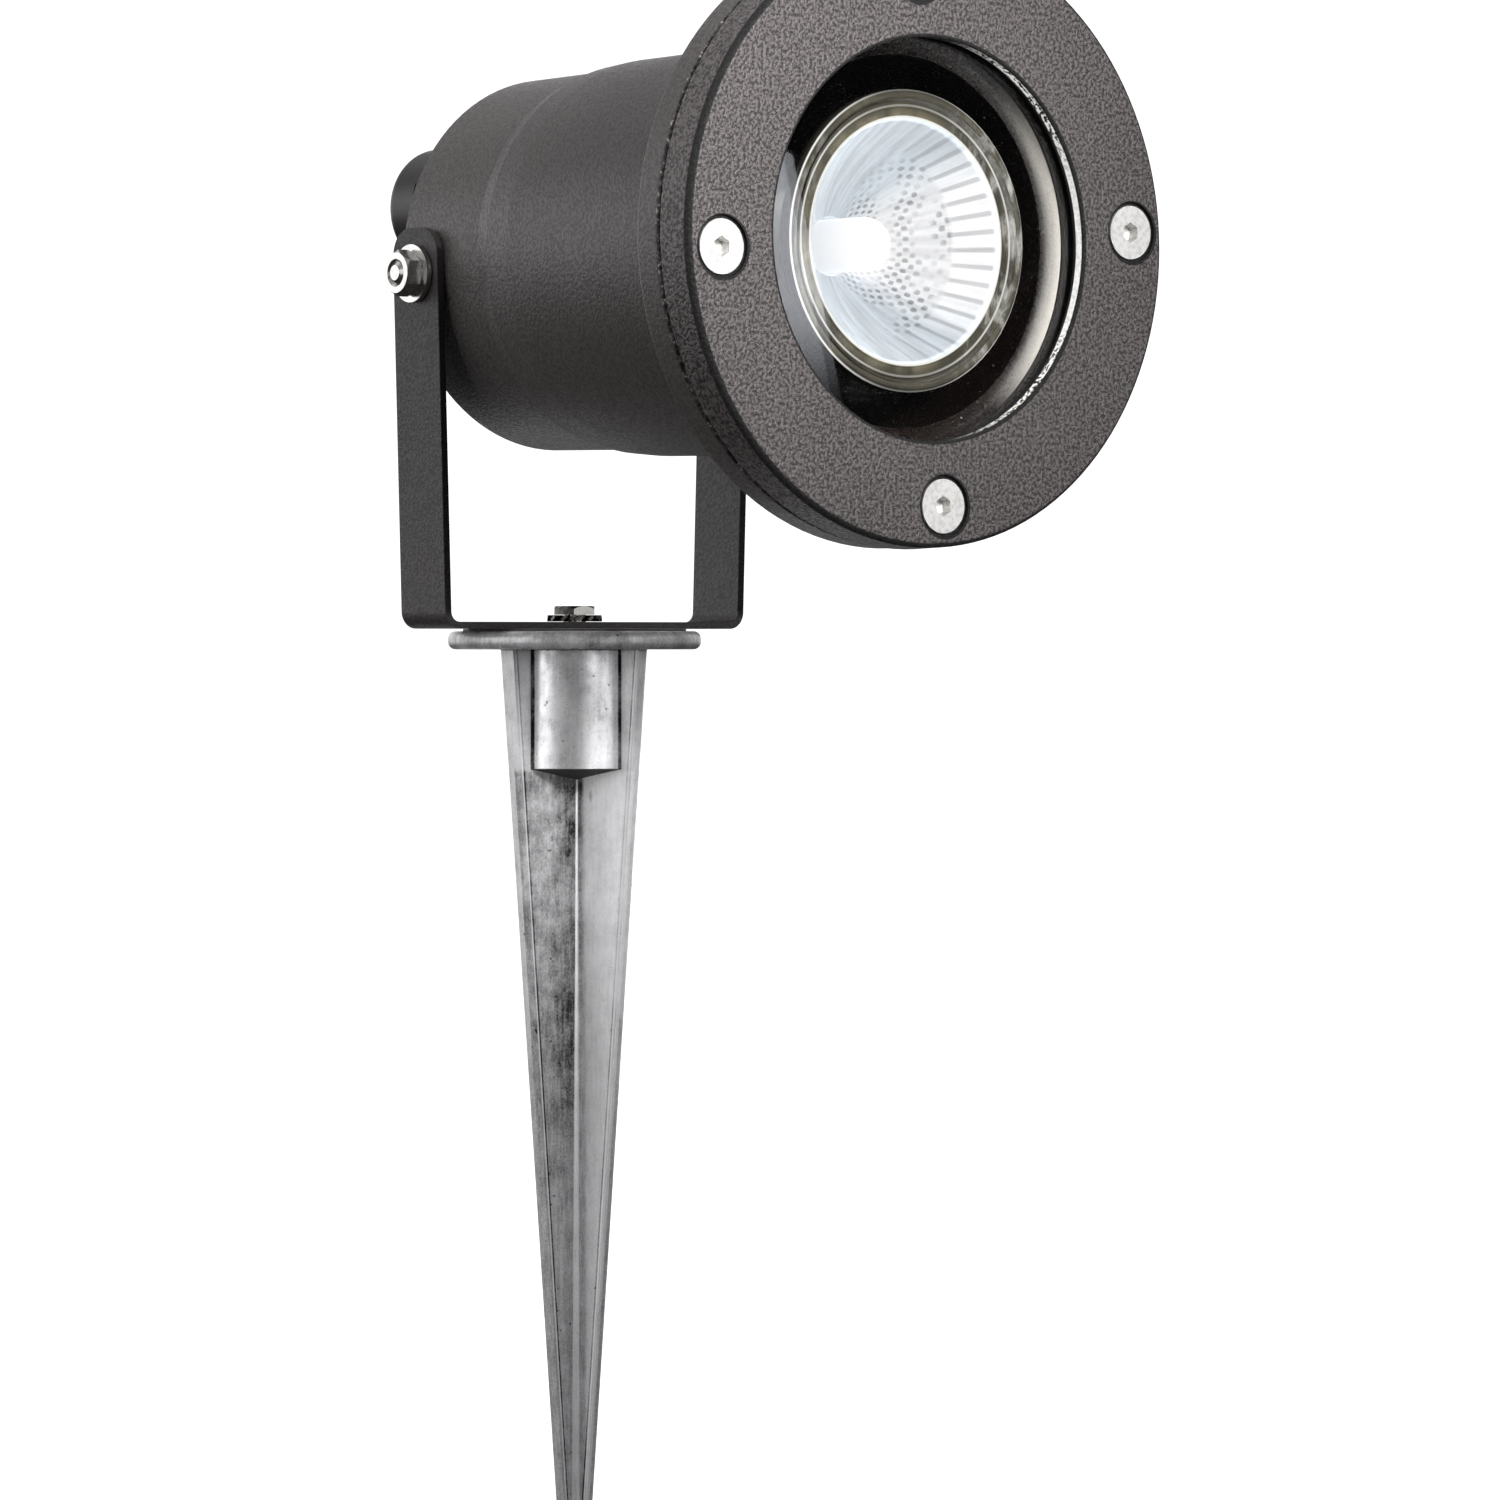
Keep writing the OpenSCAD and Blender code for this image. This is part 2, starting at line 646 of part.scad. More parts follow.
module lamp_capsule() {
    r = capsule_d / 2;
    skin = 0.8;
    dome = capsule_top - r;
    color("white", 0.5) head_frame() difference() {
        union() {
            translate([0, 0, base_top]) cylinder(r = r, h = dome - base_top, $fn = 32);
            translate([0, 0, dome]) sphere(r = r, $fn = 32);
        }
        translate([0, 0, base_top + 6]) cylinder(r = r - skin, h = dome - base_top - 6, $fn = 32);
        translate([0, 0, dome]) sphere(r = r - skin, $fn = 32);
    }
}

module lamp_filament() {
    dome = capsule_top - capsule_d / 2;
    color("orange") head_frame() {
        translate([-0.3, -0.3, base_top + 6]) cube([0.6, 0.6, dome - base_top - 8]);
        translate([0, 0, dome - 2.4]) cylinder(d = 1.8, h = 3.6, $fn = 16);
    }
}

module lamp_base() {
    r = base_d / 2;
    color(ceramic) head_frame() rotate_extrude() polygon([
        [0, base_back], [r - 1.6, base_back], [r - 1, base_back + 0.6], [r - 1, base_top - base_collar - 1],
        [r, base_top - base_collar], [r, base_top - 0.6], [r - 0.6, base_top], [0, base_top]
    ]);
}

module lamp_pins() {
    color(bright) head_frame() for (side = [-1, 1]) translate([side * pin_pitch / 2, 0, base_back]) {
        translate([0, 0, -pin_len]) cylinder(d = pin_d, h = pin_len - 2.2, $fn = 32);
        translate([0, 0, -2.2 - eps]) cylinder(d = pin_d - 2, h = 2.2 + eps, $fn = 32);
    }
}

module lampholder() {
    r = holder_d / 2;
    color(ceramic) head_frame() difference() {
        rotate_extrude() polygon([
            [0, holder_back], [r, holder_back], [r, holder_front - 1.5],
            [r - 1.5, holder_front], [0, holder_front]
        ]);
        for (side = [-1, 1]) {
            translate([side * pin_pitch / 2, 0, holder_front - pocket_len])
                cylinder(r = pocket_r, h = pocket_len + 1, $fn = 32);
            translate([side * holder_screw_x, 0, holder_back - 1])
                cylinder(d = small_d + 2 * thread_fit, h = holder_screw + 0.3, $fn = 32);
        }
    }
}

module lampholder_contacts() {
    color(brass) head_frame() for (side = [-1, 1])
        translate([side * pin_pitch / 2, 0, holder_front - pocket_len])
            cylinder(r = pocket_r - 0.3, h = pocket_len - pin_len - 0.3, $fn = 32);
}

module holder_bar() {
    half = post_pitch / 2 + 4.6;
    color(dark_steel) head_frame() difference() {
        translate([-half, -bar_w / 2, bar_back]) cube([2 * half, bar_w, bar_t]);
        for (x = [-post_pitch / 2, -holder_screw_x, holder_screw_x, post_pitch / 2])
            translate([x, 0, bar_back - 1]) cylinder(d = small_d + 4 * fit, h = bar_t + 2, $fn = 32);
    }
}

module holder_screws() {
    color(bright) head_frame() for (side = [-1, 1])
        translate([side * holder_screw_x, 0, bar_back]) mirror([0, 0, 1])
            screw(small_d, holder_screw, small_head_d, small_head_h);
}

module bar_screws() {
    color(bright) head_frame() for (side = [-1, 1])
        translate([side * post_pitch / 2, 0, holder_back])
            screw(small_d, bar_screw, small_head_d, small_head_h);
}

module terminal_block() {
    color("ivory") head_frame() difference() {
        translate([-block[0] / 2, block_y - block[1] / 2, floor_z]) cube(block);
        for (x = poles) {
            translate([x, block_y - block[1], floor_z + 3.4]) rotate([-90, 0, 0])
                cylinder(d = 3, h = 2 * block[1], $fn = 24);
            translate([x, block_y - 2.6, floor_z + 5.8]) cylinder(d = 3.2, h = block[2], $fn = 24);
        }
    }
}

module terminal_screws() {
    color(bright) head_frame() for (x = poles)
        translate([x, block_y - 2.6, floor_z + 5.8]) cylinder(d = 3, h = 2.6, $fn = 24);
}

module lamp_leads() {
    color("white") head_frame() {
        tube(lead_l, lead_d);
        tube(lead_n, lead_d);
    }
}

module earth_lead() {
    color("yellowgreen") head_frame() tube(lead_e, lead_d);
}

module earth_tag() {
    seat = floor_z + earth_boss_h;
    color(bright) head_frame() difference() {
        union() {
            translate([earth[0], earth[1], seat]) cylinder(d = 7, h = tag_t, $fn = 32);
            translate([barrel[0], barrel[1], seat]) rotate([0, 0, 45]) translate([-1.4, -1.7, 0])
                cube([4.4, 3.4, tag_t]);
            translate([barrel[0], barrel[1], seat]) cylinder(d = 3.4, h = barrel_top - seat, $fn = 24);
        }
        translate([earth[0], earth[1], seat - 1]) cylinder(d = bolt_d + 4 * fit, h = 4, $fn = 32);
    }
}

module earth_screw() {
    color(brass) head_frame() translate([earth[0], earth[1], floor_z + earth_boss_h + tag_t])
        screw(bolt_d, tag_t + 4, 6.6, 2.2);
}

module gland_frame() {
    head_frame() translate([0, gland_rise, 0]) children();
}

module gland_body() {
    color(black) gland_frame() difference() {
        union() {
            translate([0, 0, collar_front - eps])
                cylinder(d = gland_d, h = floor_z + gland_inside - collar_front, $fn = 64);
            translate([0, 0, collar_back]) hex_bar(gland_af, gland_collar, 1, 1);
            translate([0, 0, sleeve_back])
                cylinder(r = sleeve_r, h = collar_back - sleeve_back + eps, $fn = 64);
        }
        translate([0, 0, seal_front - 1])
            cylinder(d = cable_d + 2, h = floor_z + 8 - seal_front, $fn = 48);
        translate([0, 0, sleeve_back - 1])
            cylinder(r = seal_r + fit, h = seal_front - sleeve_back + 1, $fn = 48);
    }
}

module gland_gasket() {
    color(silicone) gland_frame() translate([0, 0, collar_front])
        ring(gland_boss_d - 2, gland_d + 2 * fit, gasket_t);
}

module gland_seal() {
    color(silicone) gland_frame() translate([0, 0, nut_floor])
        ring(2 * seal_r, cable_d, seal_front - nut_floor);
}

module gland_nut() {
    r = gland_nut_d / 2;
    mouth_r = cable_d / 2 + 0.6;
    flats = r - 0.9;
    color(black) gland_frame() difference() {
        rotate_extrude($fn = 72) polygon(concat(
            arc([r - nut_edge, nut_back + nut_edge], nut_edge, -90, 0, 6),
            arc([r - 0.6, nut_front - 0.6], 0.6, 0, 90, 3),
            [[sleeve_r + 2 * fit, nut_front], [sleeve_r + 2 * fit, nut_floor],
             [mouth_r, nut_floor], [mouth_r, nut_back]]));
        for (i = [0:5]) rotate([0, 0, 60 * i])
            translate([flats, -r, nut_back + 8]) cube([r, 2 * r, gland_nut - 11]);
    }
}

module gland_locknut() {
    color(black) gland_frame() translate([0, 0, floor_z]) difference() {
        hex_bar(gland_af, 3, 1, 0);
        translate([0, 0, -1]) cylinder(d = gland_d + 2 * thread_fit, h = 5, $fn = 64);
    }
}

ground_spike();
swivel_bolt();
swivel_star_washer();
u_bracket();
pivot_washers();
friction_washers();
pivot_nuts();
pivot_studs();
housing();
bezel_ring();
bezel_screws();
lens_glass();
lens_gasket();
lamp_reflector();
lamp_cover_glass();
lamp_capsule();
lamp_filament();
lamp_base();
lamp_pins();
lampholder();
lampholder_contacts();
holder_bar();
holder_screws();
bar_screws();
terminal_block();
terminal_screws();
lamp_leads();
earth_lead();
earth_tag();
earth_screw();
gland_body();
gland_gasket();
gland_seal();
gland_nut();
gland_locknut();
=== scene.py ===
# %% [markdown]
# This lesson dresses a garden spotlight: a lamp head in a bracket, on a cast spike. The solid
# model is loaded first and never moved. Each step says what a piece or a finish is on the real
# object, and then makes it. All sizes are in metres, +Z is up, and the lamp faces -Y.

# %% Load the solid model
import math

import bmesh
import bpy
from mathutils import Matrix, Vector


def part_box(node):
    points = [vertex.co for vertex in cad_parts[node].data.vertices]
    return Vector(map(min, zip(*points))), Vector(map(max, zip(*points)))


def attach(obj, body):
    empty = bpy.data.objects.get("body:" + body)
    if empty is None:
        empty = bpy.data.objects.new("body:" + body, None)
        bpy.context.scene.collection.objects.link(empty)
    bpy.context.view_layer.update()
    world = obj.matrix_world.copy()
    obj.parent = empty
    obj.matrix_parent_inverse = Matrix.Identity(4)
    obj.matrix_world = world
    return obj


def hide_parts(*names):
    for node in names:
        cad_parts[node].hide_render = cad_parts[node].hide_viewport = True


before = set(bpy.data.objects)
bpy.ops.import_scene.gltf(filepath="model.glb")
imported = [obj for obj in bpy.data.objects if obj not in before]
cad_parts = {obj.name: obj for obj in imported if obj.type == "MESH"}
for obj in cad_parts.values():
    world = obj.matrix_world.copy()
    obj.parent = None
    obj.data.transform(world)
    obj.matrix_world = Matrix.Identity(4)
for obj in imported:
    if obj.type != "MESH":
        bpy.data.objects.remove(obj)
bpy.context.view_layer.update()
mm = 0.001

# %% [markdown]
# The finishes depend on where a surface is: inside the chamber or outside, near a rim or not.
# So the lamp's axis, the screws and the faces that matter are read from the boxes of the nodes.

# %% Measure what the finishes need
def middle(node):
    low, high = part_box(node)
    return (low + high) / 2


def toward(azimuth, elevation):
    """A direction. Azimuth is measured from +X towards +Y, in degrees."""
    a, e = math.radians(azimuth), math.radians(elevation)
    return Vector((math.cos(a) * math.cos(e), math.sin(a) * math.cos(e), math.sin(e)))


axis_z = middle("bezel_ring").z
rim_r = (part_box("bezel_ring")[1].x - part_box("bezel_ring")[0].x) / 2
face_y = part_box("bezel_ring")[0].y
flange_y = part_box("housing")[0].y
bezel_back_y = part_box("bezel_ring")[1].y
window_r = 33.2 * mm
screw_head_r, first_screw = 4.5 * mm, 3.5
screw_circle = (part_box("bezel_screws")[1].x - screw_head_r) / math.cos(math.radians(first_screw))
screw_centres = [
    toward(0, first_screw + 90 * i) * screw_circle + Vector((0, 0, axis_z)) for i in range(4)]
tip_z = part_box("ground_spike")[0].z
print(f"axis at {axis_z:.4f}, rim radius {rim_r:.4f}, face at {face_y:.4f}")

# %% [markdown]
# The photograph was taken level, from the front left, with a long lens. The camera stands on a
# line 38.6 degrees left of the lamp's own direction. Its picture is shifted down a little, as in
# the photograph, where the lamp head is cut off at the top and the spike at the bottom.

# %% Place the camera
camera_at = Vector((-0.7400, -0.9777, 0.00145))
looking = Vector((0.6233, 0.7820, 0))
camera = bpy.data.objects.new("camera", bpy.data.cameras.new("camera"))
bpy.context.scene.collection.objects.link(camera)
camera.location = camera_at
camera.rotation_euler = looking.to_track_quat("-Z", "Y").to_euler()
camera.data.sensor_width = 36
camera.data.lens = 168
camera.data.shift_y = -0.0741
camera.data.clip_start = 0.05
camera.data.clip_end = 60
bpy.context.scene.camera = camera
print(f"camera {camera_at.length:.3f} m from the spike's flange")

# %% [markdown]
# A material is a sheet of sums on position and noise. Written as nodes and links, a sum takes a
# page. This small class lets a sum be written as one: each value holds a socket, and +, -, * and
# / on values add the Math nodes.

# %% Write shader maths as sums
class Value:
    """A socket of a material, on which sums can be written."""

    def __init__(self, sheet, socket):
        self.sheet, self.socket = sheet, socket

    def math(self, operation, *others):
        made = self.sheet.node("ShaderNodeMath", operation=operation)
        for place, value in zip(made.inputs, (self, *others)):
            self.sheet.put(value, place)
        return Value(self.sheet, made.outputs[0])

    def __add__(self, other):
        return self.math("ADD", other)

    def __sub__(self, other):
        return self.math("SUBTRACT", other)

    def __rsub__(self, other):
        return self * -1 + other

    def __mul__(self, other):
        return self.math("MULTIPLY", other)

    def __truediv__(self, other):
        return self.math("DIVIDE", other)

    def __pow__(self, other):
        return self.math("POWER", other)

    __radd__ = __add__
    __rmul__ = __mul__

    def over(self, low, high):
        """0 below low, 1 above high, smooth between them."""
        made = self.sheet.node("ShaderNodeMapRange", interpolation_type="SMOOTHSTEP")
        for name, value in (("Value", self), ("From Min", low), ("From Max", high)):
            self.sheet.put(value, made.inputs[name])
        return Value(self.sheet, made.outputs["Result"])

    def under(self, low, high):
        """1 below low, 0 above high, smooth between them."""
        return 1 - self.over(low, high)

    def band(self, start, full, fading, end):
        """1 from full to fading, 0 before start and past end."""
        return self.over(start, full) * self.under(fading, end)


class Sheet:
    """The nodes of a material, or of the world. put() sets or links a socket, node() adds any node."""

    def __init__(self, name, owner=None):
        self.material = owner or bpy.data.materials.new(name)
        self.material.use_nodes = True
        self.tree = self.material.node_tree
        self.shader = self.tree.nodes["Background" if owner else "Principled BSDF"]
        self.position = self.node("ShaderNodeTexCoord").outputs["Generated" if owner else "Object"]
        split = self.node("ShaderNodeSeparateXYZ", {"Vector": self.position})
        self.x, self.y, self.z = (Value(self, out) for out in split.outputs)

    def put(self, value, socket):
        if isinstance(value, Value):
            value = value.socket
        if isinstance(value, bpy.types.NodeSocket):
            self.tree.links.new(value, socket)
        else:
            socket.default_value = value

    def node(self, kind, inputs=None, stops=None, **settings):
        made = self.tree.nodes.new(kind)
        for name, value in settings.items():
            setattr(made, name, value)
        if stops:
            ramp = made.color_ramp.elements
            ramp.remove(ramp[-1])
            ramp[0].position = stops[0][0]
            for place, colour in stops[1:]:
                ramp.new(place)
            for element, (place, colour) in zip(ramp, stops):
                element.color = (*colour, 1)
        for name, value in (inputs or {}).items():
            self.put(value, made.inputs[name])
        return made

    def noise(self, size, detail=2.0, rough=0.5, stretch=(1, 1, 1)):
        """Noise whose blobs are about size across, as a value from 0 to 1."""
        scaled = self.node("ShaderNodeMapping", {"Vector": self.position, "Scale": stretch})
        made = self.node("ShaderNodeTexNoise", {
            "Vector": scaled.outputs[0], "Scale": 0.5 / size, "Detail": detail, "Roughness": rough})
        return Value(self, made.outputs[0])

    def ramp(self, value, *stops):
        """A colour that changes with a value, through stops of (place, colour)."""
        return self.node("ShaderNodeValToRGB", {"Fac": value}, stops).outputs["Color"]

    def mix(self, factor, first, second):
        """A colour between two colours."""
        made = self.node("ShaderNodeMix", data_type="RGBA")
        for socket, value in zip([made.inputs[0], *made.inputs[6:8]], (factor, first, second)):
            self.put(value if not isinstance(value, tuple) else (*value, 1), socket)
        return made.outputs[2]

    def from_axis(self):
        """Distance from the lamp's axis."""
        up = self.z - axis_z
        return (self.x * self.x + up * up).math("SQRT")

    def from_upright(self):
        """Distance from the spike's upright axis."""
        return (self.x * self.x + self.y * self.y).math("SQRT")

    def set(self, **sockets):
        for name, value in sockets.items():
            if isinstance(value, tuple):
                value = (*value, 1)
            self.put(value, self.shader.inputs[name.replace("_", " ")])
        return self

    def bump(self, height, depth):
        made = self.node("ShaderNodeBump", {"Height": height, "Distance": depth, "Strength": 1.0})
        self.put(made.outputs[0], self.shader.inputs["Normal"])
        return self


def paint(material, *names):
    """Gives one material to whole pieces."""
    for name in names:
        mesh = bpy.data.objects[name].data
        mesh.materials.clear()
        mesh.materials.append(material)
    print(f"{material.name}: {', '.join(names)}")


# %% [markdown]
# The housing, the bezel and the bracket have a charcoal powder coat. It is slightly warm, and
# its surface is a fine orange peel of grains about a third of a millimetre across, some of them
# lighter. The grains are real bumps in the coat, so one noise drives colour and bump together.
# The bracket's coat is smoother and darker, and its front edge is painted nearly black as shade.

# %% Powder coat
coat_colour = (0.078, 0.068, 0.067)
grain = 0.30 * mm


def powder_coat(name, contrast, depth=1.0):
    """The coat: contrast is how rough its grain looks, depth how light it is."""
    sheet = Sheet(name)
    peel = sheet.noise(grain, 2, 0.6).over(0.34, 0.66)
    cloud = sheet.noise(7 * mm, 2)
    tone = 0.5 + (peel - 0.5) * (0.75 * contrast) + (cloud - 0.5) * 0.3
    spread = min(0.55 * contrast, 0.7)
    dark = tuple(c * (1 - spread) * depth for c in coat_colour)
    light = tuple(c * (1 + spread) * depth for c in coat_colour)
    sheet.coat = sheet.mix(tone, dark, light)
    sheet.gloss = 0.42 + (1 - depth) * 0.2 - (peel - 0.5) * 0.12
    sheet.set(Base_Color=sheet.coat, Roughness=sheet.gloss)
    return sheet.bump(peel, 0.05 * mm * contrast)


def bracket_material():
    sheet = powder_coat("bracket_coat", 0.6, 0.45)
    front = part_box("u_bracket")[0].y
    # Painted shade: the front edge above the foot is painted nearly black and made rougher.
    edge = sheet.y.under(front + 0.1 * mm, front + 0.3 * mm) * sheet.z.over(4.5 * mm, 7 * mm)
    sheet.set(Base_Color=sheet.mix(edge * 0.85, sheet.coat, (0.003, 0.003, 0.003)),
              Roughness=sheet.gloss + edge * 0.4)
    return sheet.material


paint(bracket_material(), "u_bracket")

# %% [markdown]
# The housing has the same coat outside. Inside, the chamber is made glossy and nearly black, and
# the bevel at its mouth is painted pale on its right side only, as a painted highlight. All is
# one casting, so one material tells the zones apart by the distance from the lamp's axis.
# Where the flange meets the bezel, the coat is chipped: dark pits and bright specks.

# %% Housing, coated outside and black inside
def chipped(sheet, colour, line, width):
    """Breaks a colour up along a line: dark pits and bright specks of bare metal."""
    chip = sheet.noise(0.45 * mm, 2, 0.7)
    dark = chip.over(0.50, 0.56) * line.under(0.3 * width, width)
    bright = chip.under(0.34, 0.40) * line.under(0.5 * width, width)
    return sheet.mix(bright, sheet.mix(dark, colour, (0.004, 0.003, 0.003)), (0.45, 0.42, 0.40))


chamber_r, draft = 31 * mm, 0.02
chamber_floor = -3.3 * mm
seat_r, seat_at = 33.6 * mm, 85 * mm
bevel_w = 2.4 * mm


def housing_material():
    sheet = powder_coat("housing_coat", 0.8)
    forward = sheet.y * -1
    reach = sheet.from_axis()
    side = sheet.x / reach
    in_chamber = (reach - (chamber_r + forward * draft)).under(0, 0.2 * mm)
    in_seat = reach.under(seat_r, seat_r + 0.2 * mm) * forward.over(seat_at, seat_at + 0.2 * mm)
    inside = in_chamber.math("MAXIMUM", in_seat) * forward.over(chamber_floor, chamber_floor + 0.1 * mm)
    # Painted highlight: the mouth's bevel is pale on its right side only.
    bevel = forward.over(-flange_y - bevel_w, -flange_y) * in_seat * side.over(0.55, 0.95)
    dust = sheet.noise(0.7 * mm, 1).over(0.765, 0.785) * inside
    seam = (forward + flange_y).math("ABSOLUTE") + reach.under(rim_r - 0.9 * mm, rim_r - 0.8 * mm)
    colour = chipped(sheet, sheet.coat, seam, 0.9 * mm)
    colour = sheet.mix(inside, colour, (0.009, 0.0055, 0.0045))
    colour = sheet.mix(bevel, colour, (0.85, 0.81, 0.74))
    colour = sheet.mix(dust, colour, (0.8, 0.8, 0.8))
    sheet.set(Base_Color=colour, Roughness=sheet.gloss - inside * 0.12)
    return sheet.material


paint(housing_material(), "housing")

# %% [markdown]
# On the bezel, the grain is coarser. Painted shade makes the coat dark along the rounded rim, at
# the window's edge and in a crescent in each counterbore round the screws. The wall of the
# window is painted pale, with dark specks, on its right side only, as a painted highlight.

# %% Bezel
counterbore_r = 5.35 * mm


def bezel_material():
    sheet = powder_coat("bezel_coat", 1.75)
    forward = sheet.y * -1
    reach = sheet.from_axis()
    front = -face_y
    side = sheet.x / reach
    wall = reach.under(window_r + 0.2 * mm, window_r + 0.3 * mm)
    wall = wall * forward.under(front - 0.6 * mm, front - 0.5 * mm)
    speck = sheet.noise(0.35 * mm, 2, 0.6).under(0.46, 0.50) * (1 - side.over(0.80, 0.97) * 0.85)
    # Painted highlight: the window's wall is pale, with dark specks, on its right side only.
    bare = wall * (1 - speck) * side.over(0.1, 0.6)
    # Painted shade: dark along the rounded rim, at the window's edge and in a crescent in each counterbore.
    rim = reach.over(rim_r - 1.1 * mm, rim_r - 0.8 * mm) * forward.over(front - 1.5 * mm, front - 1.2 * mm)
    painted_edge_shade = rim.math("MAXIMUM", reach.under(window_r + 0.5 * mm, window_r + 0.6 * mm))
    for centre in screw_centres:
        gap = (sheet.x - centre.x - 0.2 * mm) ** 2 + (sheet.z - centre.z + 0.1 * mm) ** 2
        painted_edge_shade = painted_edge_shade.math("MAXIMUM", gap.math("SQRT").under(counterbore_r, counterbore_r + 0.15 * mm))
    seam = (forward + bezel_back_y).math("ABSOLUTE")
    coat = chipped(sheet, sheet.mix(painted_edge_shade * 0.95, sheet.coat, (0.003, 0.003, 0.003)), seam, 0.8 * mm)
    sheet.set(Base_Color=sheet.mix(bare, coat, (0.98, 0.97, 0.93)), Roughness=sheet.gloss + painted_edge_shade * 0.4)
    return sheet.material


paint(bezel_material(), "bezel_ring")

# %% [markdown]
# The spike is raw die-cast aluminium. It isn't polished: grey clouds of oxide, fine streaks from
# the mould and small dark pits break up its shine. Painted shade darkens the corners, the dents,
# the steps beside the raised borders of the blades and the spike towards its point. Painted
# highlights brighten the borders, a line in the corner and the front blade's lit face. All of
# these follow the shape, so they are laid out with two distances: towards the front blade and
# towards the left one.

# %% Measures of the spike
turned_by = 8
front_way, left_way = toward(turned_by - 90, 0), toward(turned_by - 180, 0)
spike_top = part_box("ground_spike")[1].z
boss_r, boss_low = 11.8 * mm, -21.2 * mm
blade_reach, point_reach = 16.85 * mm, 3.3 * mm
bend_z = -153 * mm
print(f"spike from {tip_z:.4f} to {spike_top:.4f}, its point starts at {bend_z:.4f}")


# %% Marks on the cast aluminium
def painted_dent_shade(sheet):
    """Dents on the front blade, painted shade, each at (distance out, height, radius) in millimetres."""
    marks = []
    for out, height, radius in [(6.3, -21.8, 0.7), (5.0, -23.8, 0.6), (4.5, -26.1, 0.8)]:
        gap = (sheet.x - front_way.x * out * mm) ** 2 + (sheet.y - front_way.y * out * mm) ** 2
        gap = (gap + ((sheet.z - height * mm) * 0.5) ** 2).math("SQRT")
        marks.append(gap.under(0.6 * radius * mm, 1.1 * radius * mm))
    return marks[0].math("MAXIMUM", marks[1]).math("MAXIMUM", marks[2])


def boss_marks(sheet, front, left):
    """The round boss, and the dark joints where the blades leave it."""
    around = sheet.from_upright()
    boss = around.band(boss_r - 0.4 * mm, boss_r - 0.2 * mm, boss_r + 0.1 * mm, boss_r + 0.3 * mm)
    boss = boss * sheet.z.band(boss_low - 0.2 * mm, boss_low, -0.3 * mm, 0)
    joint = left.math("ABSOLUTE").under(0.95 * mm, 1.25 * mm)
    joint = joint.math("MAXIMUM", front.math("ABSOLUTE").under(1.65 * mm, 1.95 * mm))
    return boss, joint * boss


def corner_marks(sheet, front, left):
    """The blades' corner: painted highlight line, painted shade at its sides, painted lit face."""
    below = sheet.z.under(-22 * mm, -21 * mm)
    forward, leftward = front.over(0, 0.1 * mm), left.over(0, 0.1 * mm)
    on_front_blade = left.under(0.9 * mm, 1.0 * mm) * leftward * below
    line = (front + left).under(1.85 * mm, 1.95 * mm) * forward * leftward * below
    painted_shadow_right = front.band(1.25 * mm, 1.35 * mm, 1.9 * mm, 3.3 * mm) * on_front_blade
    painted_shadow_right = painted_shadow_right * sheet.z.over(-80 * mm, -24 * mm)
    painted_shade_left = front.under(1.5 * mm, 1.8 * mm) * forward * left.over(0.7 * mm, 0.9 * mm) * below
    painted_shade_left = painted_shade_left * (0.55 + (front + left).under(2 * mm, 10 * mm) * 0.45)
    painted_shade_left = painted_shade_left * sheet.z.over(-110 * mm, -45 * mm)
    return line, painted_shadow_right + painted_shade_left, front.over(2.5 * mm, 4 * mm) * on_front_blade


def border_marks(sheet, front, left):
    """Along each blade's border: painted shade at the step beside it, a painted highlight on it."""
    slope = (blade_reach - point_reach) / (spike_top / 2 - bend_z)
    reach = blade_reach + (sheet.z - spike_top / 2) * slope
    edge = front.math("ABSOLUTE").math("MAXIMUM", left.math("ABSOLUTE")) - reach
    below_flange = sheet.z.under(-0.5 * mm, 0)
    painted_step_shade = edge.band(-1.55 * mm, -1.45 * mm, -1.25 * mm, -1.1 * mm) * below_flange
    line = edge.band(-1.1 * mm, -1.0 * mm, -0.75 * mm, -0.6 * mm) * below_flange
    return painted_step_shade, line


# %% Cast aluminium
def cast_metal():
    sheet = Sheet("cast_aluminium")
    cloud = sheet.noise(2.6 * mm, 4, 0.65).over(0.25, 0.75)
    streak = sheet.noise(0.35 * mm, 3, 0.6, (1, 1, 0.12)).over(0.3, 0.7)
    fine = sheet.noise(0.2 * mm, 2)
    pit = sheet.noise(0.6 * mm, 1).over(0.74, 0.79)
    front = sheet.x * front_way.x + sheet.y * front_way.y
    left = sheet.x * left_way.x + sheet.y * left_way.y
    boss, joint = boss_marks(sheet, front, left)
    corner, sides, painted_face_highlight = corner_marks(sheet, front, left)
    painted_step_shade, line = border_marks(sheet, front, left)
    flange = sheet.z.over(-0.7 * mm, -0.5 * mm)
    # Painted shade: the spike is painted darker towards its point.
    low = sheet.z.under(-90 * mm, -38 * mm)
    # Dark joints and pits, with painted shade in the corner, at the border steps and in the dents.
    dark = (joint + sides + painted_step_shade * 0.6 + pit * 0.5 + painted_dent_shade(sheet)).math("MINIMUM", 1)
    # Painted highlights on the borders, in the corner and on the front blade's lit face.
    bright = line * 0.35 + corner * 0.4 + painted_face_highlight * 0.25
    mottle = (cloud - 0.5) * (0.34 - low * 0.2) + (streak - 0.5) * 0.12 + (fine - 0.5) * 0.35
    tone = 0.64 + mottle + bright - dark * 0.5 - flange * 0.26 - boss * 0.08 - low * 0.32
    grey = sheet.ramp(tone, (0.0, (0.03, 0.028, 0.028)), (0.5, (0.66, 0.65, 0.66)),
                      (1.0, (0.98, 0.98, 0.99)))
    rough = 0.42 - boss * 0.1 - (cloud - 0.5) * 0.15 + dark * 0.5
    sheet.set(Base_Color=grey, Metallic=0.4 + boss * 0.5, Roughness=rough)
    return sheet.bump(fine * 0.4 + cloud * 0.5 + streak * 0.15 - pit, 0.014 * mm).material


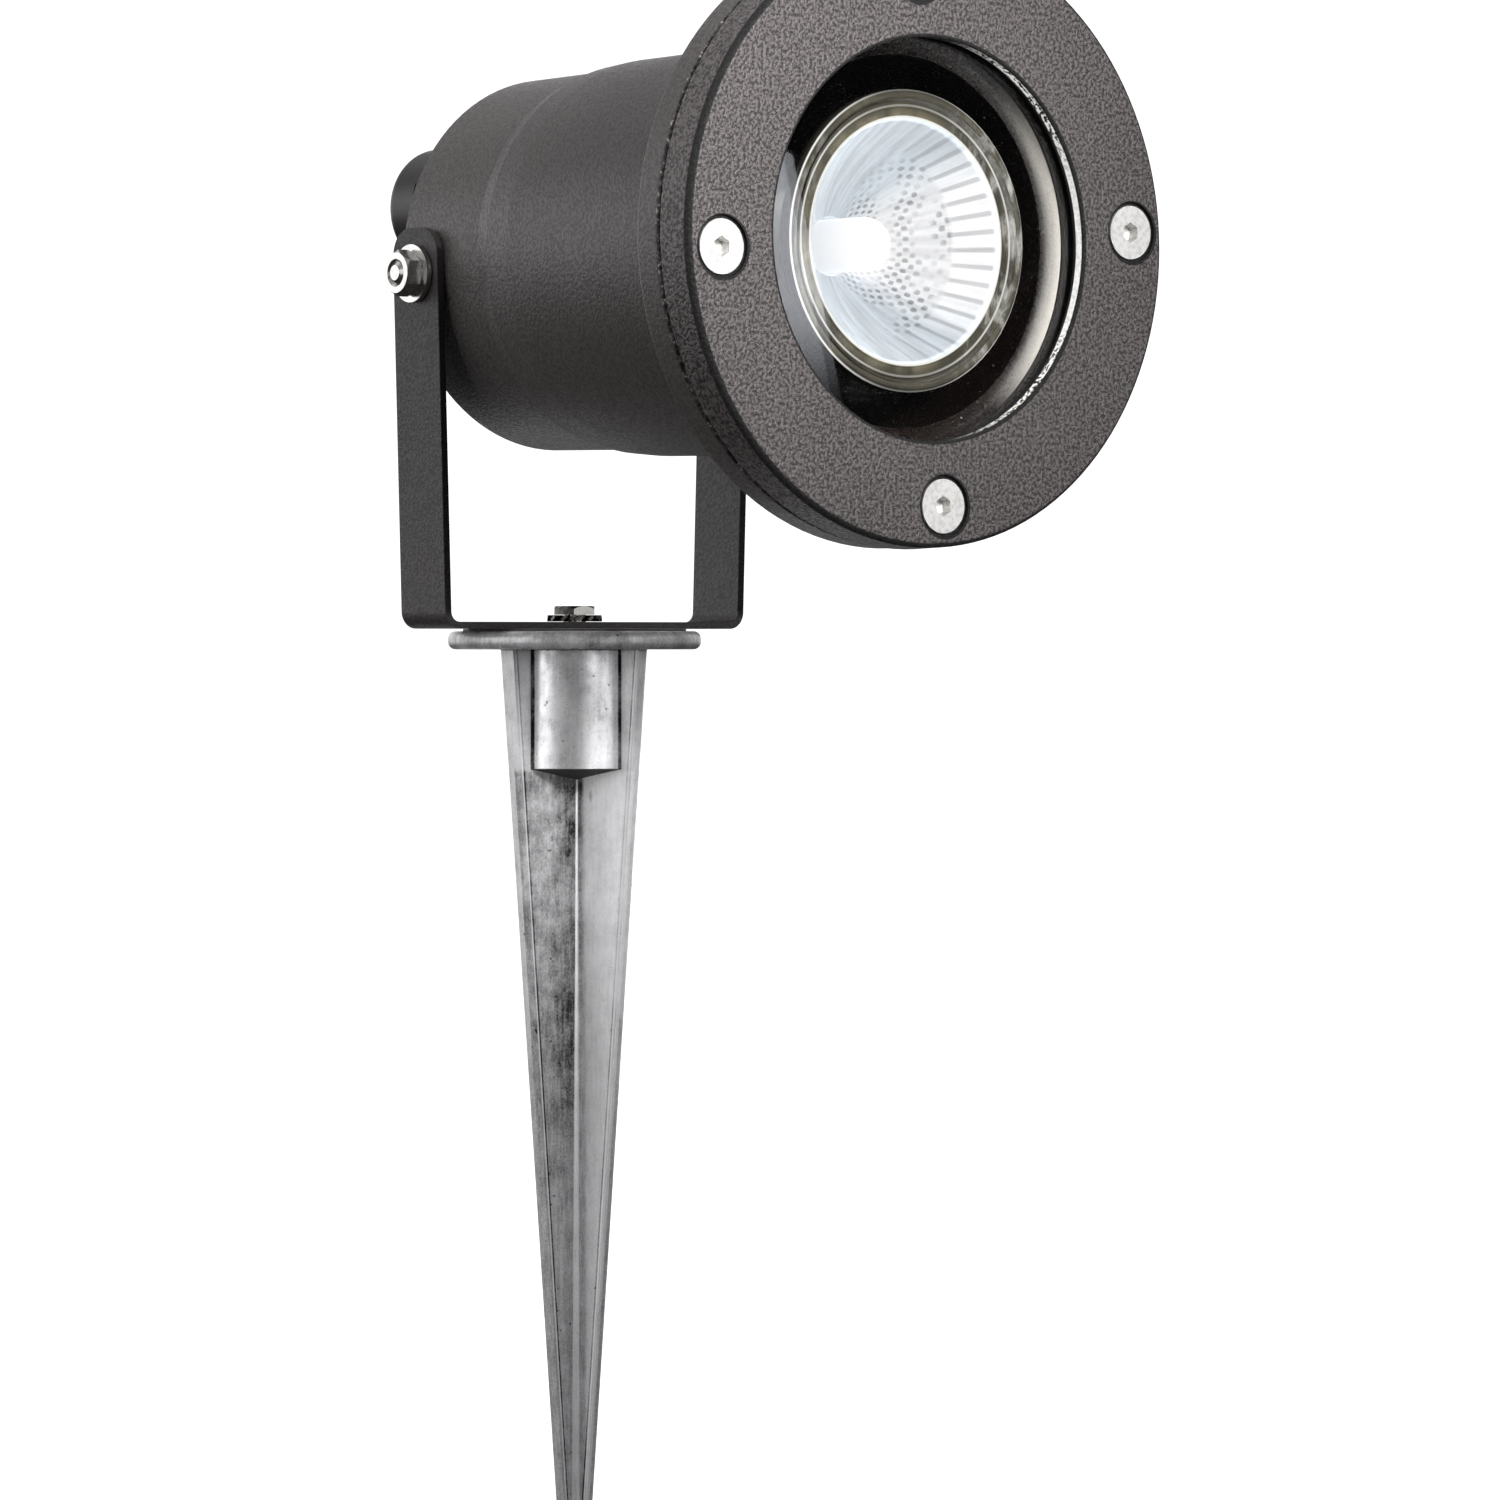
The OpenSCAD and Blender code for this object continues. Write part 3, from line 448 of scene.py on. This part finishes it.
def painted_shadow_casting():
    """Painted shade for faces that sit in shadow: the cone under the boss and the step on the flange."""
    sheet = Sheet("painted_shadow_casting")
    cloud = sheet.noise(2 * mm, 3)
    sheet.set(Base_Color=sheet.mix(cloud, (0.01, 0.009, 0.009), (0.09, 0.085, 0.085)), Roughness=0.8)
    return sheet.material


spike_metals = [cast_metal(), painted_shadow_casting()]

# %% [markdown]
# Screws, nuts, washers and pins are bare metal. Stainless heads are satin and nearly white,
# zinc-plated steel is brighter and harder, and the lock washer is dark spring steel.

# %% Bare metals
def metal(name, colour, rough, metallic=1.0):
    sheet = Sheet(name)
    wear = sheet.noise(0.4 * mm, 3)
    darker = tuple(c * 0.8 for c in colour)
    sheet.set(
        Base_Color=sheet.mix(wear.over(0.3, 0.6), darker, colour), Metallic=metallic,
        Roughness=rough + (wear - 0.5) * 0.15)
    return sheet.bump(wear, 0.01 * mm).material


paint(metal("stainless", (0.80, 0.79, 0.77), 0.5, 0.6), "bezel_screws")
paint(metal("zinc_steel", (0.66, 0.65, 0.63), 0.22), "pivot_washers", "pivot_nuts", "pivot_studs")
paint(metal("bolt_zinc", (0.34, 0.33, 0.31), 0.2), "swivel_bolt")
paint(metal("dark_steel", (0.16, 0.155, 0.15), 0.35), "swivel_star_washer", "friction_washers", "holder_bar")
paint(metal("inner_steel", (0.7, 0.7, 0.68), 0.35), "lamp_pins", "holder_screws", "bar_screws",
      "terminal_screws", "earth_tag")
paint(metal("brass", (0.78, 0.57, 0.25), 0.3), "lampholder_contacts", "earth_screw")
paint(metal("filament", (1.0, 0.9, 0.75), 0.4), "lamp_filament")

# %% [markdown]
# Gaskets and seals are black rubber, the cable gland is black plastic, and inside the housing
# there are a ceramic lampholder, a pale terminal block and wires in sleeves. All are matt, with a
# faint grain.

# %% Plastics, rubber and ceramic
def matt(name, colour, rough):
    sheet = Sheet(name)
    speck = sheet.noise(0.5 * mm, 3)
    darker = tuple(c * 0.75 for c in colour)
    sheet.set(Base_Color=sheet.mix(speck, darker, colour), Roughness=rough + (speck - 0.5) * 0.2)
    return sheet.bump(speck, 0.02 * mm).material


paint(matt("rubber", (0.012, 0.010, 0.010), 0.45), "lens_gasket", "gland_gasket", "gland_seal")
paint(matt("gland_plastic", (0.03, 0.028, 0.027), 0.4), "gland_body", "gland_nut", "gland_locknut")
paint(matt("ceramic", (0.8, 0.77, 0.7), 0.6), "lamp_base", "lampholder")
paint(matt("block_plastic", (0.85, 0.83, 0.75), 0.5), "terminal_block")
paint(matt("lead_sleeve", (0.86, 0.85, 0.82), 0.9), "lamp_leads")
paint(matt("earth_sleeve", (0.45, 0.55, 0.08), 0.9), "earth_lead")

# %% [markdown]
# The flat glass and the lamp's own cover are clear. Lamplight isn't followed through glass when
# a shadow is worked out, and would stop at the panes, so they cast no shadow.

# %% Glass
def glass(name):
    sheet = Sheet(name)
    haze = sheet.noise(6 * mm, 2)
    sheet.set(Base_Color=(1, 1, 1), Roughness=haze * 0.02, Transmission_Weight=1.0, IOR=1.5)
    return sheet.material


paint(glass("lens"), "lens_glass")
paint(glass("lamp_glass"), "lamp_cover_glass")
for name in ("lens_glass", "lamp_cover_glass"):
    pane = bpy.data.objects[name]
    pane.visible_shadow = pane.visible_diffuse = False

# %% [markdown]
# The capsule in the middle of the lamp is the source of the light. It is white along its tip and
# bluish at its root. The bowl already glows as if lit by it, so no reflection of it is needed.

# %% Glowing capsule
def capsule_glow():
    sheet = Sheet("capsule_glow")
    tip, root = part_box("lamp_capsule")[0].y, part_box("lamp_capsule")[1].y
    bright = sheet.y.under(tip, tip + (root - tip) * 0.7)
    colour = sheet.mix(bright, (0.86, 0.90, 0.94), (1.15, 1.15, 1.15))
    sheet.set(Base_Color=(0.02, 0.02, 0.02), Emission_Color=colour, Emission_Strength=1.0, Roughness=0.3)
    return sheet.material


paint(capsule_glow(), "lamp_capsule")
capsule = bpy.data.objects["lamp_capsule"]
capsule.visible_glossy = capsule.visible_diffuse = False

# %% [markdown]
# The lamp is lit, and its bowl throws the light about in a way that takes a renderer long to
# find. So the bowl is a mirror that also glows by itself, as painted light: white on the side
# where the light leaves towards the eye, bluish grey above and below, and fluted along its outer
# rings. The pressed rim round it is glass, and its glow is painted light too: olive and dark,
# with pale streaks and bright rings where the light leaves it.

# %% Lit bowl, glass rim and outer shell of the lamp
flutes = 40
flutes_from = 16 * mm
facet_pitch = 1.5 * mm


def lit_bowl():
    sheet = Sheet("lit_bowl")
    up = sheet.z - axis_z
    reach = sheet.from_axis()
    angle = up.math("ARCTAN2", sheet.x)
    side = sheet.x / reach
    flute = (angle * flutes).math("SINE") * 0.5 + 0.5
    outer = reach.over(flutes_from, flutes_from + 0.6 * mm)
    rays = sheet.node("ShaderNodeCombineXYZ", {"X": angle * 9, "Y": reach * 90})
    rays = sheet.node("ShaderNodeTexNoise", {"Vector": rays.outputs[0], "Scale": 1.3, "Detail": 3})
    rays = Value(sheet, rays.outputs[0]).over(0.25, 0.75)
    right = side.over(0.45, 0.95)
    left = side.under(-0.9, -0.2)
    grooves = 1 - (1 - flute.over(0.05, 0.35)) * outer * (0.2 + right * 0.25 + side.over(0, 0.5) * 0.35)
    spot = ((sheet.x - 5 * mm) ** 2 + (up + 1 * mm) ** 2).math("SQRT").under(1 * mm, 6.5 * mm)
    beads = (reach * (2 * math.pi / facet_pitch)).math("SINE") * (angle * flutes).math("SINE")
    beads = beads.over(0.05, 0.6) * (1 - outer) * side.over(0.1, 0.7) * (1 - spot * 0.8)
    beads = beads * sheet.noise(3 * mm, 1).over(0.35, 0.6)
    light = 0.76 + right * (0.22 + outer * 0.22) + left * 0.12 + spot * 0.4 + (rays - 0.5) * 0.26
    light = light - beads * 0.5
    light = light * (0.5 + grooves * 0.5) + reach.over(19.7 * mm, 20.1 * mm) * 0.5
    white = sheet.mix(right.math("MAXIMUM", spot), (0.86, 0.94, 1.0), (1.0, 1.0, 1.0))
    glow = sheet.node("ShaderNodeVectorMath", {"Vector": white, "Scale": light}, operation="SCALE")
    sheet.set(Base_Color=(0.06, 0.06, 0.07), Metallic=1.0, Roughness=0.3,
              Emission_Color=glow.outputs[0], Emission_Strength=1.0)
    return sheet.material


def lamp_rim_glass():
    sheet = Sheet("lamp_rim_glass")
    reach = sheet.from_axis()
    side = sheet.x / reach
    away = side.math("ABSOLUTE").over(0.15, 0.8)
    line = reach.band(22.15 * mm, 22.25 * mm, 22.5 * mm, 22.6 * mm) * (0.25 + away * 0.45)
    line = line + reach.over(24.7 * mm, 24.8 * mm) * (0.15 + away * 0.75)
    line = (line + reach.under(20.55 * mm, 20.75 * mm)).math("MINIMUM", 1)
    cloud = sheet.noise(2.5 * mm, 3).over(0.3, 0.7)
    streak = sheet.noise(1.5 * mm, 4, 0.7, (1, 1, 0.3)).over(0.45, 0.7)
    streak = streak * (side.over(0.3, 0.9) + side.under(-0.95, -0.5) * 0.5)
    near_mouth = reach.under(20.6 * mm, 22.6 * mm) * side.under(0.0, 0.7)
    near_mouth = near_mouth + sheet.noise(9 * mm, 1).over(0.5, 0.6) * side.under(-0.1, 0.4) * 0.8
    colour = sheet.mix(cloud * (0.10 + near_mouth * 0.7), (0.012, 0.013, 0.010), (0.24, 0.22, 0.14))
    colour = sheet.mix(streak * 0.75, colour, (0.75, 0.75, 0.71))
    colour = sheet.mix(line, colour, (1.0, 1.0, 0.96))
    sheet.set(Base_Color=(0.05, 0.045, 0.035), Roughness=0.08, Emission_Color=colour,
              Emission_Strength=1.0)
    return sheet.material


def shell_glass():
    sheet = Sheet("lamp_shell")
    cloud = sheet.noise(3 * mm, 3)
    sheet.set(Base_Color=sheet.mix(cloud, (0.02, 0.018, 0.014), (0.05, 0.045, 0.04)), Roughness=0.15)
    return sheet.material


lamp_glasses = [lit_bowl(), lamp_rim_glass(), shell_glass()]

# %% [markdown]
# New pieces are modelled as by hand, in edit mode. An operator acts on all that is selected, so
# each piece starts with nothing selected, and its faces or edges are picked by a rule on their
# place or their normal.

# %% Helpers for modelling
def pick(kind, rule):
    """In edit mode, selects exactly the corners, edges or faces for which the rule holds."""
    bpy.ops.mesh.select_mode(type=kind)
    bpy.ops.mesh.select_all(action="DESELECT")
    work = bmesh.from_edit_mesh(bpy.context.object.data)
    for item in {"VERT": work.verts, "EDGE": work.edges, "FACE": work.faces}[kind]:
        if rule(item):
            item.select_set(True)
    bmesh.update_edit_mesh(bpy.context.object.data)


def edit(on=True):
    bpy.ops.object.mode_set(mode="EDIT" if on else "OBJECT")


def rod(radius, low, high, sides=96, turn=0.0):
    """An upright round bar on the Z axis."""
    bpy.ops.object.select_all(action="DESELECT")
    bpy.ops.mesh.primitive_cylinder_add(
        vertices=sides, radius=radius, depth=high - low, location=(0, 0, (low + high) / 2),
        rotation=(0, 0, math.radians(turn)))
    bpy.ops.object.transform_apply()
    return bpy.context.object


def combine(piece, other, operation="UNION"):
    """Adds the other piece to the first, or cuts it out."""
    step = piece.modifiers.new("combine", "BOOLEAN")
    step.operation, step.solver, step.object = operation, "EXACT", other
    bpy.context.view_layer.objects.active = piece
    bpy.ops.object.modifier_apply(modifier=step.name)
    bpy.data.objects.remove(other)


def finished(piece, name, body, materials, stands_for):
    """Names a piece, gives it its finish, and puts it on its body in place of a solid."""
    piece.name = piece.data.name = name
    for material in materials:
        piece.data.materials.append(material)
    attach(piece, body)
    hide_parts(stands_for)
    print(f"{name}: {len(piece.data.polygons)} faces")
    return piece


# %% [markdown]
# The spike is one casting: a flange, a boss for the bolt, and four long blades that taper to a
# point. Each blade has a raised border, because the mould leaves a step beside its edge. Blades
# are tapered cubes, their sides inset and pushed in. All is joined by union, and one bevel then
# rounds every edge and fills every corner a little, as molten metal does. The last modifier turns
# the shading normals towards the large faces, or the tall flat faces would look bulged.

# %% Blades of the spike
point_w = 0.8 * mm
border_w, border_step = 1.2 * mm, 0.35 * mm


def blade(thick, low_thick, turn):
    """A pair of opposite blades, its thickness at the top and where the point starts."""
    high = spike_top / 2
    bpy.ops.object.select_all(action="DESELECT")
    bpy.ops.mesh.primitive_cube_add(
        size=1, location=(0, 0, (high + bend_z) / 2), scale=(2 * blade_reach, thick, high - bend_z))
    bpy.ops.object.transform_apply()
    edit()
    pick("FACE", lambda f: f.normal.z < -0.9)
    bpy.ops.transform.resize(
        value=(point_reach / blade_reach, low_thick / thick, 1), center_override=(0, 0, bend_z))
    bpy.ops.mesh.extrude_region_move(TRANSFORM_OT_translate={"value": (0, 0, tip_z - bend_z)})
    bpy.ops.transform.resize(
        value=(point_w / 2 / point_reach, point_w / low_thick, 1), center_override=(0, 0, tip_z))
    pick("FACE", lambda f: abs(f.normal.y) > 0.9 and f.calc_center_median().z > bend_z)
    bpy.ops.mesh.inset(thickness=border_w, depth=-border_step)
    edit(False)
    bpy.context.object.rotation_euler.z = math.radians(turn)
    bpy.ops.object.transform_apply()
    return bpy.context.object


# %% Flange and boss
flange_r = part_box("ground_spike")[1].x
flange_drop, flange_round = 0.4 * mm, 1.3 * mm
land_r = flange_r - 2.6 * mm
cone_h = 1.9 * mm
flat_at, flat_ways = 10.6 * mm, (143, 323)
hole_r, hole_depth = 2.05 * mm, 13 * mm


def make_flange():
    """A rounded disc, with a smaller step on top that the bracket stands on."""
    flange = rod(flange_r, -flange_drop, spike_top - flange_drop, 128)
    edit()
    pick("EDGE", lambda e: abs(e.verts[0].co.z - e.verts[1].co.z) < 0.01 * mm)
    bpy.ops.mesh.bevel(offset=flange_round, segments=6)
    edit(False)
    combine(flange, rod(land_r, spike_top / 2, spike_top, 96))
    return flange


def make_boss():
    """A round bar with a flat cone below and two flats."""
    boss = rod(boss_r, boss_low, spike_top / 2, 72, turned_by)
    edit()
    pick("FACE", lambda f: f.normal.z < -0.9)
    bpy.ops.mesh.extrude_region_move(TRANSFORM_OT_translate={"value": (0, 0, -cone_h)})
    bpy.ops.transform.resize(value=(0.1, 0.1, 1), center_override=(0, 0, boss_low - cone_h))
    for azimuth in flat_ways:
        way = toward(azimuth, 0)
        bpy.ops.mesh.select_all(action="SELECT")
        bpy.ops.mesh.bisect(plane_co=way * flat_at, plane_no=way, use_fill=True, clear_outer=True)
    edit(False)
    return boss


# %% Spike
def make_spike():
    spike = make_flange()
    combine(spike, make_boss())
    combine(spike, blade(3.1 * mm, 1.9 * mm, turned_by))
    combine(spike, blade(1.8 * mm, 1.4 * mm, turned_by + 90))
    combine(spike, rod(hole_r, spike_top - hole_depth, spike_top * 2, 48), "DIFFERENCE")
    spike.select_set(True)
    edit()
    bpy.ops.mesh.select_all(action="SELECT")
    bpy.ops.mesh.remove_doubles(threshold=0.02 * mm)
    # Some runs leave a tiny gap where a flat of the boss meets the flange, and this closes it
    bpy.ops.mesh.fill_holes(sides=0)
    bpy.ops.mesh.dissolve_limited(angle_limit=math.radians(1))
    edit(False)
    soft = spike.modifiers.new("soft_edges", "BEVEL")
    soft.limit_method, soft.angle_limit = "ANGLE", math.radians(25)
    soft.width, soft.segments, soft.use_clamp_overlap = 0.13 * mm, 2, False
    bpy.ops.object.modifier_apply(modifier=soft.name)
    bpy.ops.object.shade_smooth_by_angle(angle=math.radians(40))
    even = spike.modifiers.new("even_normals", "WEIGHTED_NORMAL")
    even.keep_sharp = True
    bpy.ops.object.modifier_apply(modifier=even.name)
    return spike


spike = finished(make_spike(), "cast_spike", "spike", spike_metals, "ground_spike")
# The cone under the boss and the step on the flange get the painted shade material.
for face in spike.data.polygons:
    on_cone = face.normal.z < -0.7 and -24 * mm < face.center.z < -20.9 * mm
    on_step = face.center.z > spike_top - flange_drop + 0.02 * mm and abs(face.normal.z) < 0.5
    if on_cone or on_step:
        face.material_index = 1

# %% [markdown]
# The lamp's reflector is pressed glass with a mirror coat. Near its mouth it has long flutes, and
# deeper in it has rows of small round facets. It is turned on a lathe here: a chain of points is
# spun round the lamp's axis. Then every second column is pushed out of the glass, all along on
# the flutes and only at every second ring on the facets.

# %% Reflector of the lamp
lamp_front = -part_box("lamp_reflector")[0].y
lamp_back = -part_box("lamp_reflector")[1].y
lamp_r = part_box("lamp_reflector")[1].x
columns = 80
mouth_r, neck_r = 20.3 * mm, 5.0 * mm
ledge = lamp_front - 1.4 * mm
bowl_depth = 21 * mm
flute_rings = [20.3, 19.4, 18.5, 17.4, 16.6]
facet_rings = [16.0] + [15.25 - 0.75 * i for i in range(13)] + [5.6, 5.0]


def bowl_at(radius):
    """How far forward the bowl's surface is at a radius: a parabola."""
    return ledge - bowl_depth * (1 - (radius / mouth_r) ** 2)


def turned(points, steps):
    """Spins a chain of (radius, forward) points round the lamp's axis."""
    bpy.ops.object.select_all(action="DESELECT")
    bpy.ops.mesh.primitive_plane_add(size=mm, location=(0, 0, 0))
    edit()
    bpy.ops.mesh.select_mode(type="VERT")
    bpy.ops.mesh.merge(type="CENTER")
    first_r, first_y = points[0]
    bpy.ops.transform.translate(value=(first_r, -first_y, axis_z))
    for (r0, y0), (r1, y1) in zip(points, points[1:]):
        bpy.ops.mesh.extrude_vertices_move(TRANSFORM_OT_translate={"value": (r1 - r0, y0 - y1, 0)})
    bpy.ops.mesh.select_all(action="SELECT")
    bpy.ops.mesh.spin(steps=steps, angle=2 * math.pi, center=(0, 0, axis_z), axis=(0, 1, 0))
    bpy.ops.mesh.select_all(action="SELECT")
    bpy.ops.mesh.remove_doubles(threshold=0.005 * mm)
    bpy.ops.mesh.normals_make_consistent(inside=False)
    edit(False)
    return bpy.context.object


def column(vertex):
    angle = math.atan2(vertex.co.z - axis_z, vertex.co.x) / (2 * math.pi) * columns
    return round(angle) % columns


def radius_of(co):
    return math.hypot(co.x, co.z - axis_z)


def make_reflector():
    """The bowl's rings, then the chain goes round the back and over the rim to the bowl's mouth."""
    bowl = [(r * mm, bowl_at(r * mm)) for r in flute_rings + facet_rings]
    rim = [(neck_r, lamp_back), (11 * mm, lamp_back), (14.5 * mm, lamp_back + 6 * mm),
           (19 * mm, lamp_back + 14.5 * mm), (23.5 * mm, lamp_back + 24.5 * mm),
           (lamp_r, lamp_front - 2.8 * mm), (lamp_r, lamp_front - 0.6 * mm),
           (lamp_r - 0.6 * mm, lamp_front), (lamp_r - mm, lamp_front),
           (23.5 * mm, lamp_front - 0.5 * mm), (23.5 * mm, ledge), (22.9 * mm, ledge - 0.4 * mm),
           (22.6 * mm, ledge), (22.2 * mm, ledge), (21.9 * mm, ledge - 0.4 * mm),
           (21 * mm, ledge - 0.4 * mm), (20.7 * mm, ledge), (mouth_r, ledge)]
    piece = turned(bowl + rim, columns)
    edit()
    inside = [r * mm for r in flute_rings[1:-1]]
    raised = [r * mm for r in facet_rings[1:-1:2]]

    def on(vertex, radii):
        r = radius_of(vertex.co)
        near = min(abs(r - one) for one in radii) < 0.01 * mm
        return near and abs(-vertex.co.y - bowl_at(r)) < 0.02 * mm and column(vertex) % 2

    pick("VERT", lambda v: on(v, inside))
    bpy.ops.transform.shrink_fatten(value=0.22 * mm)
    pick("VERT", lambda v: on(v, raised))
    bpy.ops.transform.shrink_fatten(value=0.2 * mm)
    edit(False)
    bpy.ops.object.shade_smooth_by_angle(angle=math.radians(45))
    return piece


reflector = finished(
    make_reflector(), "faceted_reflector", "head", lamp_glasses, "lamp_reflector")
for face in reflector.data.polygons:
    reach, forward = radius_of(face.center), -face.center.y
    in_bowl = reach < mouth_r and abs(forward - bowl_at(reach)) < 0.6 * mm
    in_neck = reach < neck_r + 0.2 * mm
    on_front = forward > ledge - 0.6 * mm and reach < lamp_r - 0.1 * mm
    face.material_index = 0 if in_bowl or in_neck else 1 if on_front else 2

# %% [markdown]
# The stage is plain: a wide pale floor below the spike's tip, and a white surround that only the
# camera sees. Light comes from the world and from soft lamps, so the surround can be pure white
# without washing out the object.

# %% Floor and surround
floor_r, surround_r = 9, 9.5


def stage_material(name, grey, glow):
    sheet = Sheet(name)
    sheet.set(Base_Color=(grey, grey, grey), Roughness=0.9, Emission_Color=(1, 1, 1),
              Emission_Strength=glow)
    return sheet.material


bpy.ops.object.select_all(action="DESELECT")
bpy.ops.mesh.primitive_circle_add(
    vertices=96, radius=floor_r, fill_type="NGON", location=(0, 0, tip_z - 0.5 * mm))
floor = bpy.context.object
floor.name = "floor"
floor.data.materials.append(stage_material("floor", 0.8, 0.95))
floor.visible_glossy = floor.visible_diffuse = False
bpy.ops.mesh.primitive_uv_sphere_add(segments=48, ring_count=24, radius=surround_r)
surround = bpy.context.object
surround.name = "surround"
surround.data.materials.append(stage_material("surround", 0.0, 1.2))
for flag in ("visible_diffuse", "visible_glossy", "visible_transmission", "visible_shadow"):
    setattr(surround, flag, False)
print(f"floor {tip_z - 0.5 * mm:.4f} m high, {2 * floor_r} m across")

# %% [markdown]
# Bare metal shows what stands round it, so the world is laid out like a studio. A band of walls
# goes round at eye level, brighter at some directions than at others, listed here in degrees from
# +X. Above is a soft ceiling. In front a panel lights the lamp head, with a dark gap in it, so
# that the flat glass stays clear where it faces the gap.

# %% World light
world = bpy.data.worlds.new("studio")
bpy.context.scene.world = world
bpy.context.scene.view_settings.view_transform = "Standard"
wall_scale = 4.0
walls = [(-180, 2.5), (-174, 2.4), (-160, 0.7), (-140, 0.35), (-115, 0.3), (-104, 0.9), (-96, 1.6),
         (-70, 1.6), (-56, 0.9), (-45, 0.6), (-36, 0.5), (0, 0.7), (30, 1.3), (70, 1.4), (110, 1.5),
         (126, 1.9), (136, 1.2), (144, 0.8), (148, 1.0), (154, 2.3), (160, 2.5)]


def near(sheet, direction, outer, inner):
    """1 within the inner angle of a direction, 0 past the outer one."""
    dot = sheet.node("ShaderNodeVectorMath", {0: sheet.position, 1: direction}, operation="DOT_PRODUCT")
    limits = (math.cos(math.radians(outer)), math.cos(math.radians(inner)))
    return Value(sheet, dot.outputs["Value"]).over(*limits)


def studio_sky():
    """Walls of light in a band at the horizon, a soft ceiling, and a front panel with a dark gap."""
    sheet = Sheet("studio", world)
    turn = sheet.y.math("ARCTAN2", sheet.x) / (2 * math.pi) + 0.5
    stops = [(a / 360 + 0.5, (v / wall_scale,) * 3) for a, v in walls]
    wall = sheet.ramp(turn, *stops)
    bright = Value(sheet, sheet.node("ShaderNodeRGBToBW", {"Color": wall}).outputs[0]) * wall_scale
    behind = sheet.y.over(0.2, 0.6)
    band = sheet.z.band(-0.16, -0.02, 0.22, 0.5)
    top = sheet.z.over(0.3, 0.8) * 0.35 + sheet.z.over(0.5, 0.7) * behind * 0.7
    low = near(sheet, toward(60, -36), 20, 8) * 0.9
    panel = near(sheet, toward(296, 24), 24, 12) * 0.8
    hole = near(sheet, toward(308.4, 4.3), 7.5, 5.5)
    light = (bright * band + 0.03 + top + low + panel) * (1 - hole * 0.98)
    grey = sheet.node("ShaderNodeCombineColor", {"Red": light, "Green": light, "Blue": light * 1.01})
    sheet.put(grey.outputs[0], sheet.shader.inputs["Color"])


studio_sky()
print(f"walls of light: {len(walls)} directions, up to {max(v for _, v in walls)}")

# %% [markdown]
# Three soft lamps stand close, as in a photographer's studio. The first lights the bezel from the
# upper left and fades towards the lower right. The two others have narrow beams that meet below
# the flange. They light the raw spike from the left and a little from the front, but don't reach
# the dark head above it.

# %% Close lamps
def beam(name, aim, azimuth, elevation, distance, angle, power, size, soft=1.0, shine=True):
    """A lamp with a cone of light, at a direction and a distance from the point it aims at."""
    lamp = bpy.data.lights.new(name, "SPOT")
    lamp.energy, lamp.shadow_soft_size = power, size
    lamp.spot_size, lamp.spot_blend = math.radians(angle), soft
    holder = bpy.data.objects.new(name, lamp)
    bpy.context.scene.collection.objects.link(holder)
    way = toward(azimuth, elevation)
    holder.location = Vector(aim) + way * distance
    holder.rotation_euler = way.to_track_quat("Z", "Y").to_euler()
    holder.visible_camera = False
    holder.visible_glossy = shine
    print(f"{name}: {power} W, {distance} m away")


below_flange = (0, 0, -0.042)
beam("bezel_lamp", (-0.035, face_y, axis_z + 0.04), 266, 17, 0.6, angle=25, power=28.0, size=0.08)
beam("spike_left", below_flange, 200, 0, 0.8, angle=8, power=24.0, size=0.10, soft=0.6, shine=False)
beam("spike_right", below_flange, 274, 0, 0.8, angle=8, power=1.0, size=0.10, soft=0.6, shine=False)

# %% [markdown]
# The lit lamp throws real light too, on the bevel of the chamber's mouth and on the wall of the
# window. A small lamp at the mouth of the bowl gives it, and it moves with the head.

# %% Light from the lit lamp
inner = bpy.data.lights.new("lamp_light", "POINT")
inner.energy, inner.shadow_soft_size = 0.022, 3 * mm
inner_holder = bpy.data.objects.new("lamp_light", inner)
bpy.context.scene.collection.objects.link(inner_holder)
inner_holder.location = (0, -lamp_front - 0.5 * mm, axis_z)
for flag in ("visible_camera", "visible_glossy", "visible_transmission"):
    setattr(inner_holder, flag, False)
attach(inner_holder, "head")
print(f"lamp_light: {inner.energy} W at {inner_holder.location}")

# %% [markdown]
# The glass shows one sharp reflection, at its left, of a lit card that fades downwards. The card
# stands where the camera's line of sight goes after the glass has turned it back. Only mirrors
# and glass show it.

# %% Card for the reflection in the glass
glass_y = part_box("lens_glass")[0].y


def beyond_glass(x, z):
    """Where the view that meets the glass at (x, z) is one metre after it was turned back."""
    sight = Vector((x, glass_y, z)) - camera_at
    sight.y = -sight.y
    return Vector((x, glass_y, z)) + sight.normalized()


def make_card():
    """A card whose reflection has its corners at these (x, z) places of the glass, in millimetres."""
    corners = [(-36, 38), (-16, 38), (-36, 84), (-27, 80)]
    bpy.ops.object.select_all(action="DESELECT")
    bpy.ops.mesh.primitive_plane_add(size=1)
    card = bpy.context.object
    for vertex, (x, z) in zip(card.data.vertices, corners):
        vertex.co = beyond_glass(x * mm, z * mm)
    sheet = Sheet("card_light")
    fade = sheet.z.over(beyond_glass(-25 * mm, 38 * mm).z, beyond_glass(-25 * mm, 58 * mm).z)
    sheet.set(Base_Color=(0, 0, 0), Emission_Color=sheet.mix(fade, (0, 0, 0), (0.95, 0.98, 1.05)),
              Emission_Strength=3.6)
    card.name = "glass_card"
    card.data.materials.append(sheet.material)
    card.visible_camera = card.visible_diffuse = card.visible_shadow = False
    print(f"glass_card: {len(card.data.vertices)} corners, {card.data.vertices[0].co}")


make_card()
